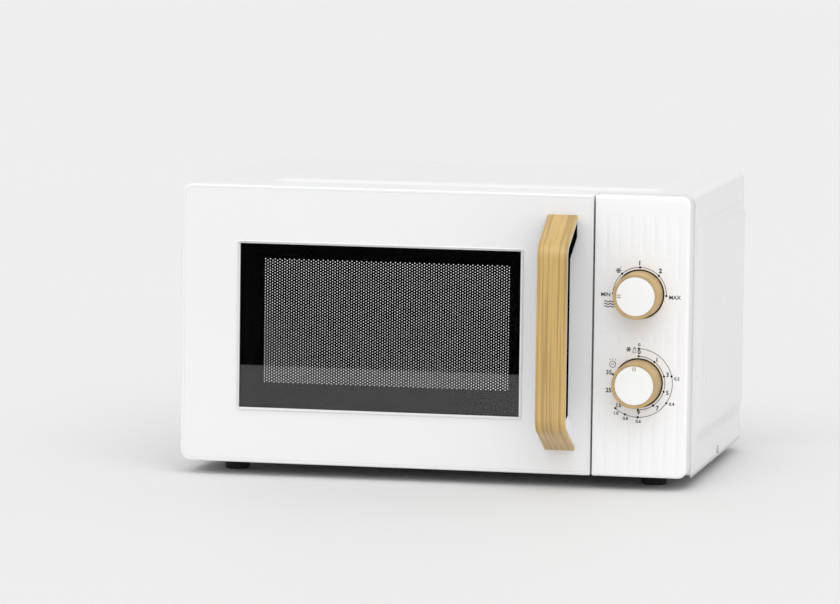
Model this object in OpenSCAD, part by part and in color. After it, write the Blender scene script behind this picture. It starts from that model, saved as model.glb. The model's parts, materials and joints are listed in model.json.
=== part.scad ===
// Countertop microwave oven with a side-hinged door, a bar handle and two dials.
// Millimetres. X runs left to right seen from the front, Y runs from the front to the back and
// Z runs up. The origin is the centre of the whole object's footprint, at the feet's undersides.

/* [Cabinet] */
// Overall width, across the raised plates of the side walls
body_w = 452; // [446:1:470]
// Depth from the door's front face to the back of the cabinet
body_d = 318; // [318:1:330]
// Height of the front face, from the door's lower edge to its upper edge
body_h = 242; // [242:1:246]
// Height of the rubber feet
foot_h = 12; // [9:1:18]
// How far the plates pressed into the side walls stand out
side_raise = 4.5; // [2:0.5:6]
// How far the plate pressed into the top stands up
top_raise = 2.5; // [1:0.5:4]

/* [Door] */
// Distance of the door's right edge to the left of the dials' centres
split_from_dial = 40.3; // [38:0.1:42]
// Thickness of the door
door_d = 26.5; // [25:0.5:28]
// Width of the black window
window_w = 247.3; // [230:0.1:250]
// Height of the black window
window_h = 143.1; // [130:0.1:146]
// Width of the perforated field behind the window
screen_w = 218; // [190:1:222]
// Height of the perforated field behind the window
screen_h = 109; // [90:1:112]

/* [Handle] */
// How far the handle stands out from the door
handle_out = 49; // [44:1:55]
// Length of the handle
handle_l = 203.3; // [190:0.1:210]
// Width of the handle
handle_w = 26; // [22:1:28]
// Height that each sloping end of the handle takes up
handle_end = 24; // [18:1:30]

/* [Dials] */
// Distance of the dials' centres from the middle of the oven
dial_x = 178.7; // [176:0.1:180]
// Height of the power dial above the door's lower edge
power_up = 158; // [156:1:164]
// Height of the timer dial above the door's lower edge
timer_up = 81.6; // [78:0.1:88]
// Outer radius of a dial's ring
dial_r = 20.2; // [18:0.1:21]
// Outer radius of a dial's cap
cap_r = 17; // [15:0.1:17.4]
// How far a dial stands out from the control panel
dial_out = 23.5; // [20:0.5:26]

/* [Oven] */
// Width of the oven cavity
cavity_w = 312; // [308:1:314]
// Depth of the oven cavity
cavity_d = 283; // [278:1:283]
// Height of the oven cavity
cavity_h = 203; // [200:1:204]
// Radius of the glass tray
tray_r = 122.5; // [115:0.5:124]
// Radius of the circle on which the rollers run
roller_track_r = 89; // [84:1:94]

/* [Hidden] */

// Working values
sheet = 0.8;          // thickness of the pressed steel sheet
wall = 2.2;           // thickness of the moulded walls
front_wall = 3;       // thickness of the moulded front walls
touch = 0.1;          // gap that keeps neighbouring pieces apart
door_gap = 1.5;       // gap between the closed door and the cabinet
round_n = 64;         // segments of a full circle on plain round parts

// Planes across the depth
front_y = -(body_d + handle_out) / 2 + handle_out;
rear_y = (body_d + handle_out) / 2;
door_back_y = front_y + door_d;
frame_y = door_back_y + door_gap;
cavity_front_y = frame_y + sheet;
cavity_back_y = cavity_front_y + cavity_d;
back_plate_y = rear_y - 2.3;

// Planes across the height
low_z = foot_h;
high_z = foot_h + body_h;
cover_low_z = foot_h - 2;
base_top_z = low_z + sheet;
cavity_low_z = low_z + 21;
cavity_high_z = cavity_low_z + cavity_h;

// Planes across the width
cover_x = body_w / 2 - side_raise;
inner_x = cover_x - sheet - touch;
door_left_x = -cover_x - 3;
split_x = dial_x - split_from_dial;
door_right_x = split_x - 0.7;
panel_left_x = split_x + 0.7;
panel_right_x = cover_x - 0.5;
cavity_x = (door_left_x + door_right_x) / 2 - 0.6;
cavity_left_x = cavity_x - cavity_w / 2;
cavity_right_x = cavity_x + cavity_w / 2;
cavity_y = (cavity_front_y + cavity_back_y) / 2;
bay_x = cavity_right_x + sheet;

// Door window, centred a little left of the door's middle
window_x = -48.6;
window_z = low_z + 120;
screen_x = window_x + 4.6;
screen_z = low_z + 124;

// Hinge of the door
hinge_r = 7;                            // radius of the door's rear left edge about the pins
hinge_x = door_left_x + hinge_r;
hinge_y = door_back_y - hinge_r;
hinge_pin_r = 2.5;
hinge_fit = 0.05;
hinge_arm_w = 7;
hinge_arm_t = 2;
upper_arm_z = high_z - 14;
lower_arm_z = low_z + 12;

// Latch
latch_x = door_right_x - 11.5;
latch_w = 5;
hook_zs = [low_z + 48, low_z + 198];
slot_w = latch_w + 5;

// Handle
handle_x = door_right_x - 26.8;
handle_mid_z = low_z + 122.65;
handle_z0 = handle_mid_z - handle_l / 2;
handle_z1 = handle_mid_z + handle_l / 2;
handle_t = 20;
handle_cover_t = 3.5;
handle_bend_r = 15;
handle_screw_in = 11;

// Turntable
roller_r = 7.2;
roller_w = 6;
roller_gap = 0.3;
axle_r = 1.5;
axle_fit = 0.05;
roller_z = cavity_low_z + roller_gap + roller_r;
tray_z = roller_z + roller_r + roller_gap;
tray_t = 5;
tray_rim_h = 13;
coupler_r = 8;

// Dials
power_z = low_z + power_up;
timer_z = low_z + timer_up;
recess_r = dial_r + 1.1;
recess_d = 1.8;
shaft_r = 3;
shaft_fit = 0.05;
shaft_back_y = front_y + 22;

// Cooling fan
fan_x = bay_x + 54;
fan_z = low_z + 166;
fan_y = rear_y - 34;
fan_r = 46;
fan_shaft_r = 2;

function unit(v) = v / norm(v);

// Points of an arc that rounds the corner b between a and c
function corner_arc(a, b, c, r, n = 6) =
    let (
        u = unit(a - b),
        v = unit(c - b),
        half = acos(max(-1, min(1, u * v))) / 2,
        centre = b + unit(u + v) * r / sin(half),
        s = b + u * r / tan(half) - centre,
        e = b + v * r / tan(half) - centre,
        start = atan2(s.y, s.x),
        turn = atan2(s.x * e.y - s.y * e.x, s * e)
    )
    r <= 0 ? [b] : [for (i = [0:n]) centre + r * [cos(start + turn * i / n), sin(start + turn * i / n)]];

// Outline with each corner rounded to its own radius
function rounded(pts, radii) = [
    for (i = [0:len(pts) - 1])
        each corner_arc(pts[(i + len(pts) - 1) % len(pts)], pts[i], pts[(i + 1) % len(pts)], radii[i])
];

// Corners of a rectangle, anticlockwise from the lower left
function rect(x0, y0, x1, y1) = [[x0, y0], [x1, y0], [x1, y1], [x0, y1]];

function rounded_rect(x0, y0, x1, y1, r) = rounded(rect(x0, y0, x1, y1), [r, r, r, r]);

function reversed(list) = [for (i = [len(list) - 1:-1:0]) list[i]];

module block(lo, hi) {
    translate(lo) cube(hi - lo);
}

// Extrudes an outline given in (X, Z) from y0 to y1
module along_y(y0, y1) {
    translate([0, y1, 0]) rotate([90, 0, 0]) linear_extrude(y1 - y0) children();
}

// Extrudes an outline given in (Y, Z) from x0 to x1
module along_x(x0, x1) {
    translate([x0, 0, 0]) rotate([90, 0, 90]) linear_extrude(x1 - x0) children();
}

module rod_y(x, z, r, y0, y1) {
    translate([x, y1, z]) rotate([90, 0, 0]) cylinder(h = y1 - y0, r = r, $fn = round_n);
}

module rod_x(y, z, r, x0, x1) {
    translate([x0, y, z]) rotate([0, 90, 0]) cylinder(h = x1 - x0, r = r, $fn = round_n);
}

module rod_z(x, y, r, z0, z1) {
    translate([x, y, z0]) cylinder(h = z1 - z0, r = r, $fn = round_n);
}

// ---------- cabinet ----------

// Plate with sloping edges pressed out of a wall; it rises along Z from a rectangle's outline
module pressed_plate(x0, y0, x1, y1, run, rise, r) {
    hull() {
        linear_extrude(0.01) polygon(rounded_rect(x0, y0, x1, y1, r));
        translate([0, 0, rise - 0.01])
            linear_extrude(0.01) polygon(rounded_rect(x0 + run, y0 + run, x1 - run, y1 - run, r));
    }
}

side_plate_y0 = frame_y + 8;
side_plate_y1 = rear_y - 8;
side_plate_z0 = low_z + 22;
side_plate_z1 = high_z - 22;
side_plate_run = 16;
top_plate_x0 = -cover_x + 61;
top_plate_x1 = cover_x - 30;
top_plate_y0 = frame_y + 20;
top_plate_y1 = rear_y - 35;
top_plate_run = 7;
plate_corner_r = 16;
cover_corner_r = 7;

// The wrapper's outer form, or its inner form when inset is the sheet's thickness
module cover_form(inset) {
    along_y(frame_y, rear_y)
        polygon(rounded(
            rect(-cover_x + inset, cover_low_z, cover_x - inset, high_z - inset),
            [0, 0, cover_corner_r - inset, cover_corner_r - inset]
        ));
    for (side = [0, 1])
        mirror([side, 0, 0])
            translate([cover_x - inset, 0, 0]) rotate([90, 0, 90])
                pressed_plate(
                    side_plate_y0, side_plate_z0, side_plate_y1, side_plate_z1,
                    side_plate_run, side_raise, plate_corner_r
                );
    translate([0, 0, high_z - inset])
        pressed_plate(
            top_plate_x0, top_plate_y0, top_plate_x1, top_plate_y1,
            top_plate_run, top_raise, plate_corner_r
        );
}

vent_n = 9;
vent_pitch = 8;
vent_w = 3;
vent_h = 26;
side_screw_y = frame_y + 150;
side_screw_z = low_z + 4.5;
screw_hole_r = 2.2;

module outer_cover() {
    color("whitesmoke") difference() {
        cover_form(0);
        cover_form(sheet);
        for (i = [0:vent_n - 1])
            block(
                [-body_w / 2 - 1, rear_y - 50 - i * vent_pitch, high_z - 50 - vent_h],
                [-cover_x + 2, rear_y - 50 - i * vent_pitch + vent_w, high_z - 50]
            );
        for (side = [-1, 1])
            rod_x(side_screw_y, side_screw_z, screw_hole_r, side * cover_x - 2, side * cover_x + 2);
    }
}

foot_xs = [-cover_x + 36, cover_x - 36];
foot_ys = [frame_y + 26, rear_y - 34];
foot_r = 12;
base_slot_n = 12;
hatch_r = 34;

module base_plate() {
    color("lightgray") difference() {
        union() {
            block([-inner_x, frame_y + sheet + touch, low_z], [inner_x, back_plate_y - touch, base_top_z]);
            for (side = [0, 1])
                mirror([side, 0, 0])
                    block([inner_x - sheet, frame_y + 2, low_z], [inner_x, back_plate_y - 2, low_z + 10]);
        }
        for (x = foot_xs, y = foot_ys) rod_z(x, y, 2.2, low_z - 1, base_top_z + 1);
        rod_z(cavity_x, cavity_y, hatch_r, low_z - 1, base_top_z + 1);
        for (i = [0:base_slot_n - 1])
            block([bay_x + 12 + i * 7, -60, low_z - 1], [bay_x + 15 + i * 7, -20, base_top_z + 1]);
        for (side = [-1, 1])
            rod_x(side_screw_y, side_screw_z, screw_hole_r, side * inner_x - 2, side * inner_x + 2);
    }
}

// Upright sheet that fills the wrapper from side to side, with its front face at y
module cabinet_wall(y, z0) {
    r = cover_corner_r;
    along_y(y, y + sheet)
        polygon(rounded(rect(-inner_x, z0, inner_x, high_z - sheet - touch), [0, 0, r, r]));
}

bushing_x = cover_x - 34;
bushing_z = low_z + 30;
bushing_hole_r = 8;
rear_slot_n = 11;
rear_screw_xs = [-cover_x + 12, -70, 70, cover_x - 12];

module back_plate() {
    color("lightgray") difference() {
        cabinet_wall(back_plate_y, low_z);
        rod_y(bushing_x, bushing_z, bushing_hole_r, back_plate_y - 1, back_plate_y + 2);
        for (row = [0:3], i = [0:rear_slot_n - 1])
            block(
                [fan_x - 38 + i * 7, back_plate_y - 1, fan_z - 36 + row * 20],
                [fan_x - 34.5 + i * 7, back_plate_y + 2, fan_z - 22 + row * 20]
            );
        for (row = [0:2], i = [0:7])
            block(
                [-cover_x + 40 + i * 7, back_plate_y - 1, low_z + 150 + row * 16],
                [-cover_x + 43 + i * 7, back_plate_y + 2, low_z + 161 + row * 16]
            );
        for (x = rear_screw_xs)
            rod_y(x, high_z - 10, screw_hole_r, back_plate_y - 1, back_plate_y + 2);
    }
}

module cover_screws() {
    color("silver") {
        for (side = [0, 1])
            mirror([side, 0, 0]) {
                rod_x(side_screw_y, side_screw_z, 3.8, cover_x, cover_x + 1.4);
                rod_x(side_screw_y, side_screw_z, 1.9, cover_x - 7, cover_x);
            }
        for (x = rear_screw_xs) {
            rod_y(x, high_z - 10, 3.8, back_plate_y + sheet, rear_y);
            rod_y(x, high_z - 10, 1.9, back_plate_y - 6, back_plate_y + sheet);
        }
    }
}

// Front plate: the oven's mouth, the latch slots and the opening behind the control panel
module front_frame() {
    color("white") difference() {
        cabinet_wall(frame_y, low_z + touch);
        block(
            [cavity_left_x, frame_y - 1, cavity_low_z],
            [cavity_right_x, frame_y + 2, cavity_high_z]
        );
        block([split_x + 8, frame_y - 1, low_z + 16], [inner_x - 6, frame_y + 2, high_z - 16]);
        for (z = hook_zs)
            block([latch_x - slot_w / 2, frame_y - 1, z - 12], [latch_x + slot_w / 2, frame_y + 2, z + 12]);
    }
}

duct_hole_y = frame_y + 46;
duct_hole_z = cavity_high_z - 34;
feed_y = cavity_y - 16;
feed_z = cavity_low_z + 92;
feed_w = 78;
feed_h = 34;

// Liner of the oven: floor, roof, two sides and back, with a flange round the mouth
module oven_cavity() {
    color("gainsboro") difference() {
        union() {
            block(
                [cavity_left_x - sheet, cavity_front_y, cavity_low_z - sheet],
                [cavity_right_x + sheet, cavity_back_y + sheet, cavity_high_z + sheet]
            );
            block(
                [cavity_left_x - 7, cavity_front_y, cavity_low_z - 7],
                [cavity_right_x + 7, cavity_front_y + sheet, cavity_high_z + 7]
            );
        }
        block(
            [cavity_left_x, cavity_front_y - 1, cavity_low_z],
            [cavity_right_x, cavity_back_y, cavity_high_z]
        );
        rod_z(cavity_x, cavity_y, coupler_r + 2, cavity_low_z - 2, cavity_low_z + 1);
        block(
            [cavity_right_x - 1, feed_y - feed_w / 2 + 8, feed_z - feed_h / 2 + 4],
            [cavity_right_x + 2, feed_y + feed_w / 2 - 8, feed_z + feed_h / 2 - 4]
        );
        for (i = [0:4], j = [0:3])
            rod_x(duct_hole_y + i * 6, duct_hole_z + j * 6, 2, cavity_right_x - 1, cavity_right_x + 2);
        for (i = [0:4], j = [0:1])
            rod_x(
                cavity_back_y - 40 + i * 6, cavity_high_z - 30 + j * 6, 2,
                cavity_left_x - 2, cavity_left_x + 1
            );
    }
}

flute_n = 7;
flute_pitch = 10.4;
flute_w = 1.6;
flute_d = 0.4;
flute_in = 9.4;       // from the panel's left edge to the first flute

// Moulded front of the control side, with fine upright flutes and a round recess for each dial
module control_panel() {
    color("white") difference() {
        along_y(front_y, frame_y - touch)
            polygon(rounded(
                rect(panel_left_x, low_z, panel_right_x, high_z),
                [1.5, 7, 7, 1.5]
            ));
        block(
            [panel_left_x + wall, front_y + front_wall, low_z + wall],
            [panel_right_x - wall, frame_y, high_z - wall]
        );
        for (z = [power_z, timer_z]) {
            rod_y(dial_x, z, recess_r, front_y - 1, front_y + recess_d);
            rod_y(dial_x, z, shaft_r + 1, front_y, front_y + front_wall + 1);
        }
        for (i = [0:flute_n - 1])
            block(
                [panel_left_x + flute_in + i * flute_pitch, front_y - 1, low_z + 3],
                [panel_left_x + flute_in + flute_w + i * flute_pitch, front_y + flute_d, high_z - 18]
            );
    }
}

module feet() {
    color("dimgray") for (x = foot_xs, y = foot_ys) {
        translate([x, y, 0]) cylinder(h = foot_h, r1 = foot_r - 1.5, r2 = foot_r, $fn = round_n);
        rod_z(x, y, 2, foot_h, foot_h + 5);
    }
}

bushing_bore_r = 3.6;
bushing_y0 = back_plate_y - 9;

// Grommet in the back plate through which the mains cord comes in
module cord_bushing() {
    color("dimgray") difference() {
        union() {
            rod_y(bushing_x, bushing_z, bushing_hole_r - 0.2, bushing_y0, rear_y);
            rod_y(bushing_x, bushing_z, bushing_hole_r + 3, bushing_y0, back_plate_y - touch);
        }
        rod_y(bushing_x, bushing_z, bushing_bore_r, bushing_y0 - 1, rear_y + 1);
    }
}

// ---------- microwave source ----------

guide_depth = 26;
guide_z1 = feed_z + 78;
magnetron_z = feed_z + 48;
magnetron_x0 = bay_x + guide_depth;
antenna_r = 9;

// Rectangular duct from the magnetron's antenna to the port in the oven's side
module waveguide() {
    x0 = bay_x + touch;
    color("silver") difference() {
        block(
            [x0, feed_y - feed_w / 2, feed_z - feed_h / 2],
            [magnetron_x0, feed_y + feed_w / 2, guide_z1]
        );
        block(
            [x0 - 1, feed_y - feed_w / 2 + sheet, feed_z - feed_h / 2 + sheet],
            [magnetron_x0 - sheet, feed_y + feed_w / 2 - sheet, guide_z1 - sheet]
        );
        rod_x(feed_y, magnetron_z, antenna_r + 1, magnetron_x0 - 2, magnetron_x0 + 1);
    }
}

module waveguide_cover() {
    color("tan") block(
        [cavity_right_x - 0.7, feed_y - feed_w / 2, feed_z - feed_h / 2 - 4],
        [cavity_right_x - touch, feed_y + feed_w / 2, feed_z + feed_h / 2 + 4]
    );
}

yoke_w = 84;
yoke_l = 46;
yoke_h = 62;
yoke_t = 2;
anode_r = 20;

// Steel yoke that carries the magnets and the cooling fins
module magnetron_yoke() {
    x0 = magnetron_x0 + touch;
    color("silver") {
        difference() {
            block(
                [x0, feed_y - yoke_w / 2, magnetron_z - yoke_h / 2],
                [x0 + yoke_l, feed_y + yoke_w / 2, magnetron_z + yoke_h / 2]
            );
            block(
                [x0 + yoke_t, feed_y - yoke_w / 2 - 1, magnetron_z - yoke_h / 2 + yoke_t],
                [x0 + yoke_l - yoke_t, feed_y + yoke_w / 2 + 1, magnetron_z + yoke_h / 2 - yoke_t]
            );
            rod_x(feed_y, magnetron_z, anode_r - 6, x0 - 1, x0 + yoke_l + 1);
        }
        difference() {
            block(
                [x0 + yoke_l, feed_y - 24, magnetron_z - 24],
                [x0 + yoke_l + 18, feed_y + 24, magnetron_z + 24]
            );
            block(
                [x0 + yoke_l - 1, feed_y - 24 + sheet, magnetron_z - 24 + sheet],
                [x0 + yoke_l + 18 - sheet, feed_y + 24 - sheet, magnetron_z + 24 - sheet]
            );
        }
    }
}

// Two ring magnets, one against each side of the yoke
module magnetron_magnets() {
    x0 = magnetron_x0 + touch + yoke_t + touch;
    color("darkslategray") for (x = [x0, x0 + yoke_l - 2 * yoke_t - 2 * touch - 9])
        difference() {
            rod_x(feed_y, magnetron_z, 26, x, x + 9);
            rod_x(feed_y, magnetron_z, 15, x - 1, x + 10);
        }
}

fin_n = 5;

// Copper anode block with its fins, and the antenna that reaches into the waveguide
module magnetron_anode() {
    x0 = magnetron_x0 + touch + yoke_t + 10;
    color("peru") {
        rod_x(feed_y, magnetron_z, 14 - touch, magnetron_x0 + touch, magnetron_x0 + yoke_l + 6);
        rod_x(feed_y, magnetron_z, antenna_r, magnetron_x0 - 14, magnetron_x0 + touch);
        rod_x(feed_y, magnetron_z, anode_r, x0, x0 + 22);
        for (i = [0:fin_n - 1])
            difference() {
                block(
                    [x0 + 1 + i * 4.6, feed_y - 38, magnetron_z - 28],
                    [x0 + 1.6 + i * 4.6, feed_y + 38, magnetron_z + 28]
                );
                rod_x(feed_y, magnetron_z, anode_r - 1, x0, x0 + 22);
            }
    }
}

core_x0 = bay_x + 16;
core_y0 = cavity_y + 14;
core_w = 76;
core_l = 62;
core_h = 60;
window_core_w = 16;

// Laminated core with two windows, standing on the base plate
module transformer_core() {
    color("dimgray") difference() {
        union() {
            block([core_x0, core_y0, base_top_z + 3], [core_x0 + core_w, core_y0 + core_l, base_top_z + 3 + core_h]);
            block([core_x0 - 6, core_y0 + 8, base_top_z], [core_x0 + core_w + 6, core_y0 + core_l - 8, base_top_z + 3]);
        }
        for (x = [core_x0 + 12, core_x0 + core_w - 12 - window_core_w])
            block(
                [x, core_y0 - 1, base_top_z + 15],
                [x + window_core_w, core_y0 + core_l + 1, base_top_z + 3 + core_h - 12]
            );
    }
}

// Primary and secondary windings round the core's middle leg
module transformer_coils() {
    z0 = base_top_z + 15 + 0.3;
    z1 = base_top_z + 3 + core_h - 12.3;
    mid = (z0 + z1) / 2;
    color("chocolate") for (z = [[z0, mid - 1], [mid + 1, z1]])
        difference() {
            block(
                [core_x0 + 12.3, core_y0 - 10, z[0]],
                [core_x0 + core_w - 12.3, core_y0 + core_l + 10, z[1]]
            );
            block(
                [core_x0 + 11.7 + window_core_w, core_y0 - 0.3, z[0] - 1],
                [core_x0 + core_w - 11.7 - window_core_w, core_y0 + core_l + 0.3, z[1] + 1]
            );
        }
}

cap_y = frame_y + 118;
cap_x0 = bay_x + 20;
cap_half = 12;

// Oval can lying along X, with two blade terminals
module capacitor() {
    z = base_top_z + 26;
    color("lightsteelblue") {
        along_x(cap_x0, cap_x0 + 74)
            polygon(rounded_rect(cap_y - cap_half - 12, z - cap_half, cap_y + cap_half + 12, z + cap_half, cap_half));
        for (y = [cap_y - 11, cap_y + 11])
            block([cap_x0 - 8, y - 3, z - 0.4], [cap_x0, y + 3, z + 0.4]);
    }
}

// Strap that holds the can down to the base plate
module capacitor_clamp() {
    z = base_top_z + 26;
    gap = 0.3;
    color("silver") difference() {
        union() {
            along_x(cap_x0 + 28, cap_x0 + 44)
                polygon(rounded_rect(
                    cap_y - cap_half - 14 - gap, z - cap_half - 2 - gap,
                    cap_y + cap_half + 14 + gap, z + cap_half + 2 + gap, cap_half + 2 + gap
                ));
            block(
                [cap_x0 + 28, cap_y - 40, base_top_z],
                [cap_x0 + 44, cap_y + 40, base_top_z + 2]
            );
            block(
                [cap_x0 + 28, cap_y - 12, base_top_z],
                [cap_x0 + 44, cap_y + 12, z - cap_half]
            );
        }
        along_x(cap_x0 + 27, cap_x0 + 45)
            polygon(rounded_rect(
                cap_y - cap_half - 12 - gap, z - cap_half - gap,
                cap_y + cap_half + 12 + gap, z + cap_half + gap, cap_half + gap
            ));
    }
}

module diode() {
    color("black") rod_x(cap_y, base_top_z + 46, 4, cap_x0 + 10, cap_x0 + 34);
}

// ---------- cooling ----------

shroud_w = 104;

// Moulded ring round the fan blade, fixed to the back plate
module fan_shroud() {
    color("silver") difference() {
        block(
            [fan_x - shroud_w / 2, fan_y - 8, fan_z - shroud_w / 2],
            [fan_x + shroud_w / 2, back_plate_y - touch, fan_z + shroud_w / 2]
        );
        rod_y(fan_x, fan_z, fan_r + 2.5, fan_y - 9, back_plate_y + 1);
    }
}

// Shaded-pole motor in front of the blade, with two arms to the shroud
module fan_motor() {
    y0 = fan_y - 34;
    color("dimgray") difference() {
        union() {
            block([fan_x - 22, y0, fan_z - 28], [fan_x + 22, y0 + 14, fan_z + 28]);
            rod_y(fan_x, fan_z, 13, y0 - 6, y0 + 20);
            for (side = [-1, 1])
                block([fan_x - 6, y0 + 11, fan_z + side * 38 - 14], [fan_x + 6, y0 + 14, fan_z + side * 38 + 14]);
            for (side = [-1, 1])
                block([fan_x - 6, y0 + 11, fan_z + side * 50.5 - 1.5], [fan_x + 6, fan_y - 8 - touch, fan_z + side * 50.5 + 1.5]);
        }
        rod_y(fan_x, fan_z, fan_shaft_r + 0.05, y0 - 7, y0 + 21);
    }
}

blade_n = 5;
blade_tilt = 28;

// Five tilted blades on a hub, with the motor's shaft
module fan_blade() {
    y_mid = fan_y + 8;
    color("ivory") {
        rod_y(fan_x, fan_z, 10, y_mid - 9, y_mid + 9);
        rod_y(fan_x, fan_z, fan_shaft_r, fan_y - 36, y_mid - 9);
        for (i = [0:blade_n - 1])
            translate([fan_x, y_mid, fan_z]) rotate([0, i * 360 / blade_n, 0])
                translate([8, 0, 0]) rotate([blade_tilt, 0, 0])
                    translate([0, -0.8, -12]) cube([fan_r - 11, 1.6, 24]);
    }
}

// Duct that leads the air past the magnetron into the oven through its side holes
module air_duct() {
    y0 = duct_hole_y - 10;
    y1 = feed_y - yoke_w / 2 - 1;
    color("gray") difference() {
        block([bay_x + touch, y0, duct_hole_z - 8], [bay_x + 52, y1, duct_hole_z + 28]);
        block([bay_x - 1, y0 + 1.5, duct_hole_z - 6.5], [bay_x + 50.5, y1 + 1, duct_hole_z + 26.5]);
    }
}

// ---------- turntable ----------

module turntable_motor() {
    color("silver") difference() {
        union() {
            rod_z(cavity_x, cavity_y, 25, base_top_z + 4, cavity_low_z - sheet - touch);
            block(
                [cavity_x - 33, cavity_y - 7, cavity_low_z - sheet - 1.6],
                [cavity_x + 33, cavity_y + 7, cavity_low_z - sheet - touch]
            );
        }
        rod_z(cavity_x, cavity_y, 3.55, base_top_z + 8, cavity_low_z);
    }
}

// Round plate that closes the opening under the motor
module motor_hatch() {
    color("lightgray") {
        rod_z(cavity_x, cavity_y, hatch_r - 0.3, low_z, low_z + 0.8);
        for (side = [-1, 1])
            block(
                [cavity_x + side * (hatch_r + 1) - 5, cavity_y - 4, base_top_z + touch],
                [cavity_x + side * (hatch_r + 1) + 5, cavity_y + 4, base_top_z + 1.2]
            );
    }
}

// Three-armed coupler on the motor's shaft, under the tray
module drive_coupler() {
    color("ivory") {
        rod_z(cavity_x, cavity_y, 3.5, base_top_z + 9, cavity_low_z + 1);
        rod_z(cavity_x, cavity_y, coupler_r, cavity_low_z + 1, tray_z - 0.2);
        for (i = [0:2])
            translate([cavity_x, cavity_y, tray_z - 5]) rotate([0, 0, i * 120 + 90])
                translate([0, -3.5, 0]) cube([20, 7, 4.8]);
    }
}

// Glass plate with a raised rim and three pairs of lugs that the coupler's arms sit between
module glass_tray() {
    rim_in = 9;
    color("lightcyan") translate([cavity_x, cavity_y, tray_z]) {
        rotate_extrude($fn = round_n)
            polygon([
                [0, 0], [tray_r - rim_in - 8, 0], [tray_r, tray_rim_h], [tray_r - 5, tray_rim_h],
                [tray_r - rim_in - 10, tray_t], [0, tray_t]
            ]);
        for (i = [0:2], side = [-1, 1])
            rotate([0, 0, i * 120 + 90 + side * 24])
                translate([16, -1.5, -4]) cube([8, 3, 4.01]);
    }
}

// Ring that carries the three rollers on radial axles
module roller_ring() {
    ring_out = roller_track_r - roller_w / 2 - 1.5;
    color("ivory") translate([cavity_x, cavity_y, roller_z]) {
        difference() {
            translate([0, 0, -2.5]) cylinder(h = 5, r = ring_out, $fn = round_n);
            translate([0, 0, -3.5]) cylinder(h = 7, r = ring_out - 5, $fn = round_n);
        }
        for (i = [0:2])
            rotate([0, 0, i * 120 + 30]) {
                rod_x(0, 0, axle_r, ring_out - 1, roller_track_r + roller_w / 2 + 0.5);
                rod_x(0, 0, 2.4, roller_track_r + roller_w / 2 + 0.5, roller_track_r + roller_w / 2 + 1.7);
            }
    }
}

module roller(i) {
    color("ivory") translate([cavity_x, cavity_y, roller_z]) rotate([0, 0, i * 120 + 30])
        difference() {
            rod_x(0, 0, roller_r, roller_track_r - roller_w / 2, roller_track_r + roller_w / 2);
            rod_x(0, 0, axle_r + axle_fit, roller_track_r - roller_w, roller_track_r + roller_w);
        }
}

module roller_1() roller(0);
module roller_2() roller(1);
module roller_3() roller(2);

// ---------- lamp, cut-outs, board and switches ----------

lamp_y = cavity_back_y - 60;
lamp_z = cavity_high_z - 26;

module lamp_holder() {
    color("ivory") difference() {
        block([bay_x + touch, lamp_y - 14, lamp_z - 14], [bay_x + 5, lamp_y + 14, lamp_z + 14]);
        rod_x(lamp_y, lamp_z, 8.2, bay_x - 1, bay_x + 6);
    }
}

// Small capsule lamp lying against the oven's side
module lamp_bulb() {
    color("lightyellow") {
        rod_x(lamp_y, lamp_z, 8, bay_x + 1, bay_x + 8);
        rod_x(lamp_y, lamp_z, 5, bay_x + 8, bay_x + 13);
    }
}

// Two bimetal discs: one on the magnetron's yoke, one on the oven's roof
module thermal_cutouts() {
    color("black") {
        rod_z(
            magnetron_x0 + 26, feed_y, 7,
            magnetron_z + yoke_h / 2 + touch, magnetron_z + yoke_h / 2 + 8
        );
        rod_z(cavity_x, cavity_y, 7, cavity_high_z + sheet + touch, cavity_high_z + sheet + 7);
    }
}

board_z = base_top_z + 12;
board_y0 = rear_y - 50;

module filter_board() {
    color("olivedrab") {
        block([bay_x + 8, board_y0, board_z], [bay_x + 62, board_y0 + 30, board_z + 1.6]);
        for (x = [bay_x + 10, bay_x + 60])
            rod_z(x, board_y0 + 3, 1.8, base_top_z, board_z);
    }
    color("gold") rod_z(bay_x + 32, board_y0 + 15, 8, board_z + 1.6, board_z + 13);
}

module fuse() {
    color("lightgray") rod_x(board_y0 + 26, board_z + 6, 3, bay_x + 10, bay_x + 42);
}

board_x0 = latch_x - slot_w / 2 - 3;
board_x1 = split_x + 3;

// Moulded bracket behind the front plate that the door's hooks drop into
module latch_board() {
    y0 = frame_y + sheet + sheet + touch;
    color("ivory") difference() {
        block([board_x0, y0, hook_zs[0] - 20], [board_x1, y0 + 30, hook_zs[1] + 20]);
        for (z = hook_zs)
            block([board_x0 + 2, y0 - 1, z - 14], [board_x1 - 4, y0 + 27, z + 14]);
        block([board_x0 + 2, y0 + 8, hook_zs[0] + 18], [board_x1 + 1, y0 + 31, hook_zs[1] - 18]);
    }
}

// Three door switches on the latch bracket's side, each with its button
module micro_switches() {
    y0 = frame_y + 10;
    for (z = [hook_zs[0] - 10, hook_zs[0] + 4, hook_zs[1] - 5]) {
        color("crimson") block([board_x1 + touch, y0 + 2, z], [board_x1 + 7, y0 + 22, z + 10]);
        color("silver") for (i = [0:2])
            block([board_x1 + 7, y0 + 4 + i * 6, z + 3], [board_x1 + 13, y0 + 5 + i * 6, z + 7]);
    }
}

// ---------- dials' mechanisms ----------

// Case of a dial's mechanism, fixed behind the control panel, with a bush for the shaft
module dial_case(z, half_w, half_h, depth) {
    y0 = front_y + 9;
    difference() {
        union() {
            block([dial_x - half_w, y0, z - half_h], [dial_x + half_w, y0 + depth, z + half_h]);
            rod_y(dial_x, z, 6, front_y + front_wall + touch, y0);
            for (side = [-1, 1])
                rod_y(dial_x + side * (half_w - 4), z + half_h - 4, 2.5, front_y + front_wall + touch, y0);
        }
        rod_y(dial_x, z, shaft_r + shaft_fit, front_y, shaft_back_y + 0.5);
    }
}

module timer_unit() {
    color("lightgray") dial_case(timer_z, 26, 22, 28);
}

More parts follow.
